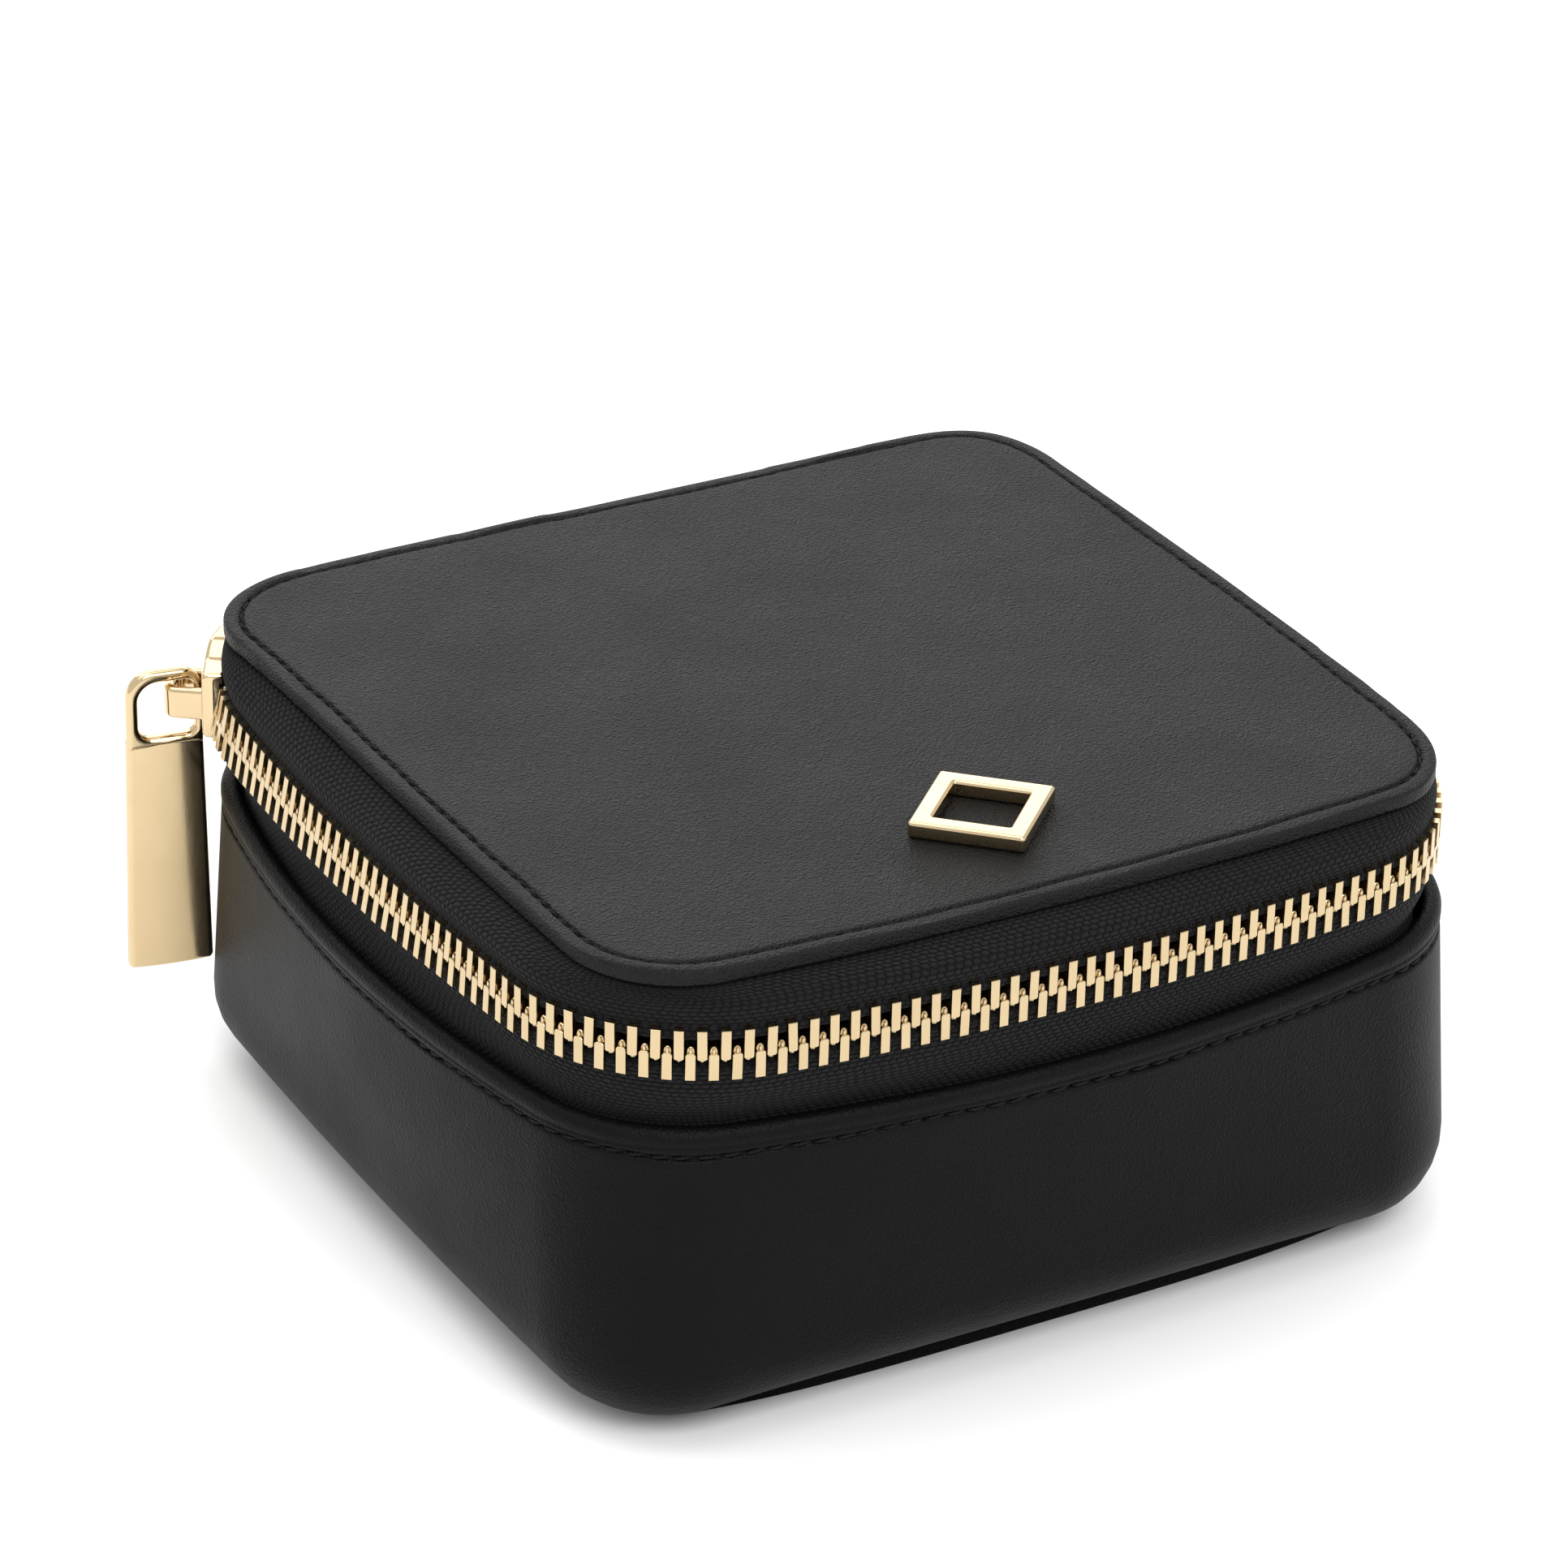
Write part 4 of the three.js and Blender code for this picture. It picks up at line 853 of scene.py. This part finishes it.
def slider():
    verts, faces = [], []

    def take(v, f):
        b = len(verts)
        verts.extend([tuple(p) for p in v])
        faces.extend([tuple(b + k for k in q) for q in f])

    def half(u):
        return 2.8 + 0.35 + float(parted(slider_s + u)) + 0.05

    for side in (1, -1):
        inner, outer = (1.75, 3.35) if side > 0 else (-1.75, -2.75)
        lip = side * 0.85
        us = np.concatenate([[-4.6, -4.55, -4.42, -4.2], np.linspace(-3.9, 3.9, 14), [4.2, 4.42, 4.55, 4.6]])
        shrink = np.concatenate([[0.34, 0.18, 0.07, 0.0], np.zeros(14), [0.0, 0.07, 0.18, 0.34]])
        rows = []
        for u, sh in zip(us, shrink):
            h, w = half(u), 0.8
            pts = [(lip, -h - w), (outer, -h - w), (outer, h + w), (lip, h + w), (lip, h), (inner, h), (inner, -h), (lip, -h)]
            rad = [0.2, 0.75, 0.75, 0.2, 0.12, 0.1, 0.1, 0.12]
            q = round_poly(pts, rad, 5)
            if area2(q) < 0:
                q = q[::-1]
            q = offset(q, sh)
            rows.append([bend(u, a, b) for a, b in q])
        rows = np.array(rows)
        v, f, _ = lofted(rows)
        n = rows.shape[1]
        f = list(f) + [tuple(range(n)), tuple((len(rows) - 1) * n + k for k in range(n))]
        take(v, f)
    # nose post between the parted chains
    post = resample(round_poly([(-4.45, -0.3), (-2.3, -0.12), (-2.3, 0.12), (-4.45, 0.3)], [0.2, 0.08, 0.08, 0.2], 4), 0.3)
    v, f = soft_extrude(post, [], -2.4, 2.4, 0.03, lambda a, b, d: bend(a, d, b), 2)
    take(v, f)
    # bridge with its eye
    top, t, half_l = 7.8, 1.2, 3.1
    arch = round_poly([(-half_l, 2.6), (half_l, 2.6), (half_l, top), (-half_l, top)], [0.3, 0.3, 1.55, 1.55], 8)
    eye = round_poly([(-half_l + t, 2.9), (half_l - t, 2.9), (half_l - t, top - t), (-half_l + t, top - t)], [0.2, 0.2, 0.7, 0.7], 6)
    v, f = soft_extrude(resample(arch, 0.3), [resample(eye, 0.3)], -1.9 - 1.0, 1.9 - 1.0, 0.52, lambda a, b, d: stiff(a, b, d), 6)
    take(v, f)
    return new_mesh("slider_casting", verts, faces)


done(slider(), M_GOLD, "slider", ["slider_body"])


def hang(n, d, z):
    """Tab frame: n as in the slider's own frame when square to the zip, d through the plate, turned on the eye's axis."""
    t = math.radians(26)
    a = n - 4.4
    return stiff(a * math.sin(t) + d * math.cos(t), 4.4 + a * math.cos(t) - d * math.sin(t), z)


def pull():
    verts, faces, uvs = [], [], []

    def take(v, f, uv=None):
        b = len(verts)
        verts.extend([tuple(p) for p in v])
        for q in f:
            faces.append(tuple(b + k for k in q))
        n = sum(len(q) for q in f)
        uvs.extend(uv if uv is not None else [(0.0, 0.0)] * n)

    z = -1.0
    top, bottom = 3.6 + z, -33.9 + z
    wt = 2.2 + z
    wb = wt - 6.8
    low = wb - 1.35
    # the frame round the bridge, nearly round in section
    outer = round_poly([(3.9, top), (3.86, low), (12.74, low), (12.7, top)], [2.6, 0.5, 0.5, 3.2], 12)
    hole = round_poly([(4.75, wt), (4.75, wb), (11.35, wb), (11.35, wt)], [1.2, 1.3, 1.5, 2.3], 10)
    v, f = soft_extrude(resample(outer, 0.4), [resample(hole, 0.4)], -0.8, 0.8, 0.62, lambda a, b, d: hang(a, d, b), 7)
    take(v, f)
    # the plate below: slightly domed on its front, with small edge radii
    zs = np.concatenate([[wb - 0.35], np.linspace(wb - 0.6, bottom + 0.55, 40), bottom + 0.5 - 0.5 * np.sin(np.linspace(0.2, math.pi / 2, 7))])
    rows, ts = [], []
    for zz in zs:
        k = (zz - (wb - 0.35)) / (bottom - (wb - 0.35))
        nl, nr = 3.87 + (3.37 - 3.87) * k, 12.75 + (13.2 - 12.75) * k
        near = max(0.0, (bottom + 0.5 - zz) / 0.5)
        pin = 0.42 * (1 - math.sqrt(max(0.0, 1 - near * near)))
        pts = []
        tt = np.linspace(0, 1, 33)
        e = 0.34
        for t in tt:
            n = nl + pin + (nr - nl - 2 * pin) * t
            edge = min(n - nl - pin, nr - pin - n)
            roll = e * (1 - math.sqrt(max(0.0, 1 - max(0.0, 1 - edge / e) ** 2))) if edge < e else 0.0
            dome = 0.30 * abs(2 * t - 1) ** 2
            pts.append((n, 0.8 - dome - roll - pin * 0.9, t))
        for t in tt[::-1]:
            n = nl + pin + (nr - nl - 2 * pin) * t
            edge = min(n - nl - pin, nr - pin - n)
            roll = e * (1 - math.sqrt(max(0.0, 1 - max(0.0, 1 - edge / e) ** 2))) if edge < e else 0.0
            pts.append((n, -0.8 + roll * 0.7 + pin * 0.9, t))
        rows.append([hang(n, d, zz) for n, d, _ in pts])
        ts.append([(p[0] / 10, zz / 10) for p in pts])
    rows = np.array(rows)
    v, f, _ = lofted(rows)
    m, n = rows.shape[:2]
    flat = np.array(ts).reshape(-1, 2)
    f = list(f) + [tuple(range(n)), tuple((m - 1) * n + k for k in range(n))]
    take(v, f, [tuple(flat[k]) for q in f for k in q])
    return new_mesh("pull_tab_plate", verts, faces, uvs)


done(pull(), M_GOLD_TAB, "pull_tab", ["pull_tab"])

# ---- emblem ----------------------------------------------------------------
def lozenge(hl, hw, r):
    return resample(round_poly([(-hl, 0), (0, -hw), (hl, 0), (0, hw)], [r, r, r, r], 6), 0.4)


hl, hw, bar = 9.2, 8.8, 2.2
k = 1 - bar * math.hypot(hl, hw) / (hl * hw)
v, f = soft_extrude(lozenge(hl, hw, 0.5), [lozenge(hl * k, hw * k, 0.2)], 0.0, 1.9, 0.42, lambda a, b, d: (a - 1.7, b - 36.0, LID_TOP + 0.1 + d), 5)
done(new_mesh("lozenge_emblem", v, f), M_GOLD, "lid", ["badge"])

# ---- hinge: leather strip bent round the back, from the base wall to the lid ---
HY = CHAIN[1] + CHAIN[2]
prof = np.array([(50.6, 33.2), (50.75, 36.0), (51.0, 38.2), (52.1, 40.6), (53.2, 43.0), (53.55, 45.0), (53.65, 47.3), (53.5, 49.4), (52.9, 51.4), (51.6, 53.2), (50.2, 54.05), (49.0, 54.3), (47.9, 54.3)])
dd = np.concatenate([[0], np.cumsum(np.linalg.norm(np.diff(prof, axis=0), axis=1))])
tt = np.linspace(0, dd[-1], 60)
prof = np.column_stack([np.interp(tt, dd, prof[:, 0]), np.interp(tt, dd, prof[:, 1])])
for _ in range(12):
    prof[1:-1] = (prof[:-2] + 2 * prof[1:-1] + prof[2:]) / 4
tan = np.gradient(prof, axis=0)
tan /= np.linalg.norm(tan, axis=1)[:, None]
pn = np.column_stack([tan[:, 1], -tan[:, 0]])
xs = np.linspace(-36.4, 36.4, 80)
over = np.clip(np.abs(xs) - CHAIN[0], 0, None)
round_in = CHAIN[2] - np.sqrt(CHAIN[2] ** 2 - over ** 2)
outer_rows, inner_rows = [], []
for i in range(60):
    fold = 0.10 * math.sin((prof[i, 1] - 44.0) * 1.7) * math.exp(-((prof[i, 1] - 47.3) / 3.5) ** 2)
    o = prof[i] + pn[i] * (0.5 + fold)
    q = prof[i] - pn[i] * 0.4
    wave = 0.06 * np.sin(xs / 5.2 + i * 0.13) * math.exp(-((prof[i, 1] - 47.3) / 5.0) ** 2)
    outer_rows.append(np.column_stack([xs, o[0] + pn[i, 0] * wave - round_in + 0.12 * (over > 0), o[1] + pn[i, 1] * wave]))
    inner_rows.append(np.column_stack([xs, q[0] - round_in, np.full(80, q[1])]))
rows = np.array(outer_rows + inner_rows[::-1])
v, f, uv = lofted(rows, closed=False, ring=True, s=xs, v=np.concatenate([tt, tt[::-1], [0]]))
m, n = rows.shape[:2]
for j in (0, n - 1):
    for i in range(59):
        f.append((i * n + j, (i + 1) * n + j, (m - 2 - i) * n + j, (m - 1 - i) * n + j))
        uv = np.vstack([uv, np.zeros((4, 2))])
hinge = done(new_mesh("hinge_leather", v, f, uv), M_LEATHER_BASE_SHADED, None, ["hinge_strip"])
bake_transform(hinge)

# ---- inside: lining, pads, rolls, partitions, pocket -------------------------
IA, IS = 14, 26


def I(z, inset, spec=None):
    return row(spec or base_at(z), inset, z, IA, IS)


def in_edge(depth, rev=False):
    r = EDGE_R - depth
    out = []
    for a in np.radians(np.linspace(0, 90, 6)):
        z = LEATHER_Z + depth + r * (1 - math.cos(a))
        out.append(I(z, depth + r * (1 - math.sin(a))))
    return out[::-1] if rev else out


lin = in_edge(4.42) + [I(16, 4.42), I(25, 4.42), I(32, 4.42), I(38.3, 4.42), I(38.4, 3.5), I(38.7, 3.25), I(39.3, 3.2), I(39.9, 3.3), I(40.3, 3.7), I(40.42, 4.3), I(40.3, 4.9), I(39.9, 5.2), I(39.0, 5.25), I(36, 5.2), I(30, 5.2), I(25, 5.2), I(16, 5.2)] + in_edge(5.2, rev=True)
v, f, uv = lofted(lin, ring=True)
done(new_mesh("wall_lining_suede", v, f, uv), M_SUEDE, "base", ["base_wall_lining"])


def pad_plate(name, spec, inset, z0, z1, soft, body, node, dimples=(), puff=0.12):
    """A soft-edged pad: rounded rim all round and a slightly puffed top and bottom."""
    mid = (z0 + z1) / 2
    h = (z1 - z0) / 2
    ang = np.linspace(-math.pi / 2, math.pi / 2, 9)
    rows = []
    for sgn in (-1, 1):
        pass
    inner = [0.2, 0.45, 0.7, 0.9]

    def rr(ins, z, sc=1.0):
        p = outline(spec, inset + ins, IA, IS) * sc
        w = 0.05 * np.sin(p[:, 0] / 3.1) * np.cos(p[:, 1] / 2.7)
        return np.column_stack([p, z + w * (1 if z > mid else -0.2)])

    for q in inner:
        rows.append(rr(soft, z0 + 0.02 * q, q))
    for a in ang:
        rows.append(rr(soft * (1 - math.cos(a)), mid + h * math.sin(a)))
    for q in inner[::-1]:
        rows.append(rr(soft, z1 - 0.06 + puff * (1 - q * q) * 0.5, q))
    v, f, uv = lofted(rows, cap0=(0, 0, z0 + 0.02), cap1=(0, 0, z1))
    ob = done(new_mesh(name, v, f, uv), M_SUEDE, body, [node])
    return ob


pad_plate("floor_pad_suede", base_at(5.4), EDGE_R + 0.9, 5.4, 6.6, 0.8, "base", "base_floor_pad")
pad_plate("lid_pad_suede", PAD, 0.0, 51.0, 52.7, 1.1, "lid", "lid_lining_pad")


def wall(name, node, x0, x1, y0, y1, z0, z1):
    """A board partition wrapped in suede, with a rounded top edge and soft ends."""
    along_x = (x1 - x0) > (y1 - y0)
    l0, l1 = (x0, x1) if along_x else (y0, y1)
    c = (y0 + y1) / 2 if along_x else (x0 + x1) / 2
    t = (y1 - y0) / 2 if along_x else (x1 - x0) / 2
    sec = round_poly([(-t, z0), (t, z0), (t, z1), (-t, z1)], [0.15, 0.15, t * 0.98, t * 0.98], 8)
    sec = resample(sec, 1.6)
    if area2(sec) < 0:
        sec = sec[::-1]
    ls = np.concatenate([[l0, l0 + 0.08, l0 + 0.25, l0 + 0.55], np.linspace(l0 + 1.2, l1 - 1.2, 40), [l1 - 0.55, l1 - 0.25, l1 - 0.08, l1]])
    sh = np.concatenate([[0.5, 0.28, 0.1, 0.02], np.zeros(40), [0.02, 0.1, 0.28, 0.5]])
    rows = []
    for l, s_ in zip(ls, sh):
        q = offset(sec, s_)
        w = 0.06 * math.sin(l / 4.1)
        pts = [(l, c + a + w * (b - z0) / (z1 - z0), b) if along_x else (c + a + w * (b - z0) / (z1 - z0), l, b) for a, b in q]
        rows.append(pts)
    rows = np.array(rows)
    v, f, uv = lofted(rows)
    n = rows.shape[1]
    f = list(f) + [tuple(range(n)), tuple((len(rows) - 1) * n + k for k in range(n))]
    uv = np.vstack([uv, np.zeros((2 * n, 2))])
    return done(new_mesh(name, v, f, uv), M_SUEDE, "base", [node])


wall("partition_long_suede", "partition_long", -13.6, -11.4, -46, 46, 6.9, 33.9)
wall("partition_cross_suede", "partition_cross", -11.1, 47.9, 2.9, 5.1, 6.9, 30.9)

for i in range(7):
    yc = (i - 3) * 11.8
    hw_, h0 = 5.15, 10.5
    dome = [(-hw_ + 0.35, 0.0), (0, -0.02), (hw_ - 0.35, 0.0)]
    base_pts = [(hw_ - 0.35, 0), (hw_ - 0.1, 0.12), (hw_, 0.5), (hw_ + 0.02, 3), (hw_ + 0.03, 6), (hw_, 8.5)]
    arc_pts = [(hw_ * math.cos(a), h0 + hw_ * math.sin(a) * 0.995) for a in np.linspace(0.0, math.pi, 22)]
    sec = np.array([(0, 0)] + base_pts + arc_pts + [(-a, b) for a, b in base_pts[::-1]])
    xs_ = np.concatenate([-47.4 + np.array([0, 0.08, 0.3, 0.7, 1.3]), np.linspace(-45.2, -16.4, 22), -14.2 - np.array([1.3, 0.7, 0.3, 0.08, 0])])
    shr = np.concatenate([[0.80, 0.86, 0.92, 0.965, 0.99], np.ones(22), [0.99, 0.965, 0.92, 0.86, 0.80]])
    rows = []
    for x, sc in zip(xs_, shr):
        cz = 7.5
        lump = 1 + 0.006 * math.sin(x * 0.9 + i * 2.1)
        q = sec * 1.0
        y = q[:, 0] * sc * lump
        zz = cz + (q[:, 1] - cz) * (sc if True else 1) * 1.0
        zz = np.where(q[:, 1] < 0.6, q[:, 1], zz)
        rows.append(np.column_stack([np.full(len(q), x), yc + np.clip(y, -5.2, 5.2), FLOOR_Z + zz]))
    rows = np.array(rows)
    v, f, uv = lofted(rows)
    n = rows.shape[1]
    f = list(f) + [tuple(range(n)), tuple((len(rows) - 1) * n + k for k in range(n))]
    uv = np.vstack([uv, np.zeros((2 * n, 2))])
    ob = done(new_mesh(f"ring_roll_{i + 1}_suede", v, f, uv), M_SUEDE, "base", [f"ring_roll_{i + 1}"])


# gathered pocket inside the lid
def pocket():
    nx, ny = 150, 46
    x = np.linspace(-44, 44, nx)
    y = np.linspace(-43, 12.4, ny)
    X, Y = np.meshgrid(x, y)
    r = 11.0
    # rounded lower corners: pull the points in
    dx, dy = np.clip(np.abs(X) - (44 - r), 0, None), np.clip(-43 + r - Y, 0, None)
    m = np.maximum(dx, dy)
    d = np.hypot(dx, dy)
    kk = np.where(d > 1e-6, m / np.maximum(d, 1e-6), 1.0)
    X2 = np.sign(X) * (np.minimum(np.abs(X), 44 - r) + dx * kk)
    Y2 = np.maximum(Y, -43 + r) - dy * kk
    t = (Y - y[0]) / (y[-1] - y[0])
    depth = 0.15 + 1.15 * np.sin(np.pi * np.clip(t, 0, 1)) ** 0.8 * np.cos(np.clip(X2 / 44, -1, 1) * math.pi / 2) ** 0.35
    ruffle = np.abs(np.sin(X / 2.05 + 0.5 * np.sin(X / 6.3))) ** 1.4
    fold = (0.30 + 0.75 * t ** 2) * ruffle * np.clip((44 - np.abs(X2)) / 4, 0, 1) * np.clip(t * 6, 0, 1)
    Z = 50.75 - 0.25 - depth * 0.55 - fold * 0.9
    top = np.stack([X2, Y2, Z + 0.22], 2)
    bot = np.stack([X2, Y2, Z - 0.22], 2)
    verts = np.vstack([top.reshape(-1, 3), bot.reshape(-1, 3)])
    faces = []
    o = nx * ny
    for i in range(ny - 1):
        for j in range(nx - 1):
            a, b, c, d_ = i * nx + j, i * nx + j + 1, (i + 1) * nx + j + 1, (i + 1) * nx + j
            faces += [(a, b, c, d_), (o + a, o + d_, o + c, o + b)]
    for i in range(ny - 1):
        for j in (0, nx - 1):
            faces.append((i * nx + j, (i + 1) * nx + j, o + (i + 1) * nx + j, o + i * nx + j))
    for j in range(nx - 1):
        for i in (0, ny - 1):
            faces.append((i * nx + j, i * nx + j + 1, o + i * nx + j + 1, o + i * nx + j))
    area = 0.0
    P = np.stack([X2, Y2, Z], 2)
    a_ = np.linalg.norm(np.cross(P[1:, :-1] - P[:-1, :-1], P[:-1, 1:] - P[:-1, :-1]), axis=2) / 2
    b_ = np.linalg.norm(np.cross(P[1:, :-1] - P[1:, 1:], P[:-1, 1:] - P[1:, 1:]), axis=2) / 2
    return new_mesh("lid_pocket_cloth", verts, faces), float(a_.sum() + b_.sum())


pk, pk_area = pocket()
done(pk, M_SUEDE, "lid", ["lid_pocket"])

xs_ = np.linspace(-44, 44, 120)
sec = round_poly([(12.2, 48.9), (15.4, 48.9), (15.4, 50.7), (12.2, 50.7)], [0.6, 0.6, 0.6, 0.6], 5)
sec = resample(sec, 0.4)
rows = []
for x in xs_:
    w = 0.14 * math.sin(x / 0.9) + 0.10 * math.sin(x / 2.3 + 1)
    q = sec.copy()
    q[:, 1] += w * np.clip((50.7 - q[:, 1]) / 1.8, 0, 1)
    rows.append(np.column_stack([np.full(len(q), x), q]))
rows = np.array(rows)
v, f, uv = lofted(rows, v=np.concatenate([xs_, [xs_[-1]]]))
n = rows.shape[1]
f = list(f) + [tuple(range(n)), tuple((len(rows) - 1) * n + k for k in range(n))]
uv = np.vstack([uv, np.zeros((2 * n, 2))])
el = done(new_mesh("pocket_elastic_band", v, f, uv[:, ::-1]), M_ELASTIC, "lid", ["pocket_elastic"])

# hard parts kept from the CAD frame: only their finish is set
for name, mat in (("base_tray_shell", M_BOARD), ("lid_board", M_BOARD), ("badge_clip_left", M_GOLD_TEETH_SHADED), ("badge_clip_right", M_GOLD_TEETH_SHADED)):
    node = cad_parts[name]
    node.data.materials.clear()
    node.data.materials.append(mat)

# ---- floor, light and camera -------------------------------------------------
me = bpy.data.meshes.new("floor")
s_ = 3.0
me.from_pydata([(-s_, -s_, 0), (s_, -s_, 0), (s_, s_, 0), (-s_, s_, 0)], [], [(0, 1, 2, 3)])
floor = bpy.data.objects.new("floor", me)
bpy.context.scene.collection.objects.link(floor)
fm = Nodes("pale_floor")
fm.tint(fm.noise(30, 2), (0.93, 0.93, 0.93), (0.95, 0.95, 0.95))
fm.p.inputs["Roughness"].default_value = 0.9
fm.p.inputs["Specular IOR Level"].default_value = 0.1
floor.data.materials.append(fm.mat)

world = bpy.data.worlds.new("studio")
bpy.context.scene.world = world
world.use_nodes = True
bg = next(n for n in world.node_tree.nodes if n.type == "BACKGROUND")
bg.inputs["Color"].default_value = (1.0, 1.0, 1.0, 1)
bg.inputs["Strength"].default_value = 0.95


def area_light(name, loc, target, size, power):
    ld = bpy.data.lights.new(name, "AREA")
    ld.shape = "RECTANGLE"
    ld.size, ld.size_y = size
    ld.energy = power
    ob = bpy.data.objects.new(name, ld)
    ob.location = loc
    ob.rotation_mode = "QUATERNION"
    ob.rotation_quaternion = (Vector(target) - Vector(loc)).to_track_quat("-Z", "Y")
    bpy.context.scene.collection.objects.link(ob)
    return ob


area_light("top_softbox", (-0.25, 0.25, 1.15), (0, 0, 0.03), (0.9, 0.9), 5.0)
area_light("front_top_softbox", (-0.15, -0.95, 1.05), (0, -0.05, 0.0), (0.9, 0.6), 10.0)
area_light("back_softbox", (0.30, 1.05, 0.66), (0, 0, 0.05), (1.2, 0.7), 4.5)

cam_data = bpy.data.cameras.new("camera")
cam = bpy.data.objects.new("camera", cam_data)
bpy.context.scene.collection.objects.link(cam)
bpy.context.scene.camera = cam
yaw, pitch, roll = 0.52132301, 0.48167169, 0.02220632
fwd = Vector((math.sin(yaw) * math.cos(pitch), math.cos(yaw) * math.cos(pitch), -math.sin(pitch)))
right = Vector((math.cos(yaw), -math.sin(yaw), 0))
up = right.cross(fwd)
r2 = right * math.cos(roll) + up * math.sin(roll)
u2 = right * -math.sin(roll) + up * math.cos(roll)
place = (Vector((6.0937, 18.0512, 32.1922)) - fwd * 694.6084) * 1.04 * MM
cam.matrix_world = Matrix(((r2.x, u2.x, -fwd.x, place.x), (r2.y, u2.y, -fwd.y, place.y), (r2.z, u2.z, -fwd.z, place.z), (0, 0, 0, 1)))
cam_data.sensor_width = 36
cam_data.lens = 7785.3125 / 1932 * 36
cam_data.shift_x, cam_data.shift_y = -6.816 / 1932, -1.014 / 1932
cam_data.clip_start, cam_data.clip_end = 0.01, 20
bpy.context.scene.view_settings.view_transform = "Standard"
bpy.context.scene.view_settings.look = "None"
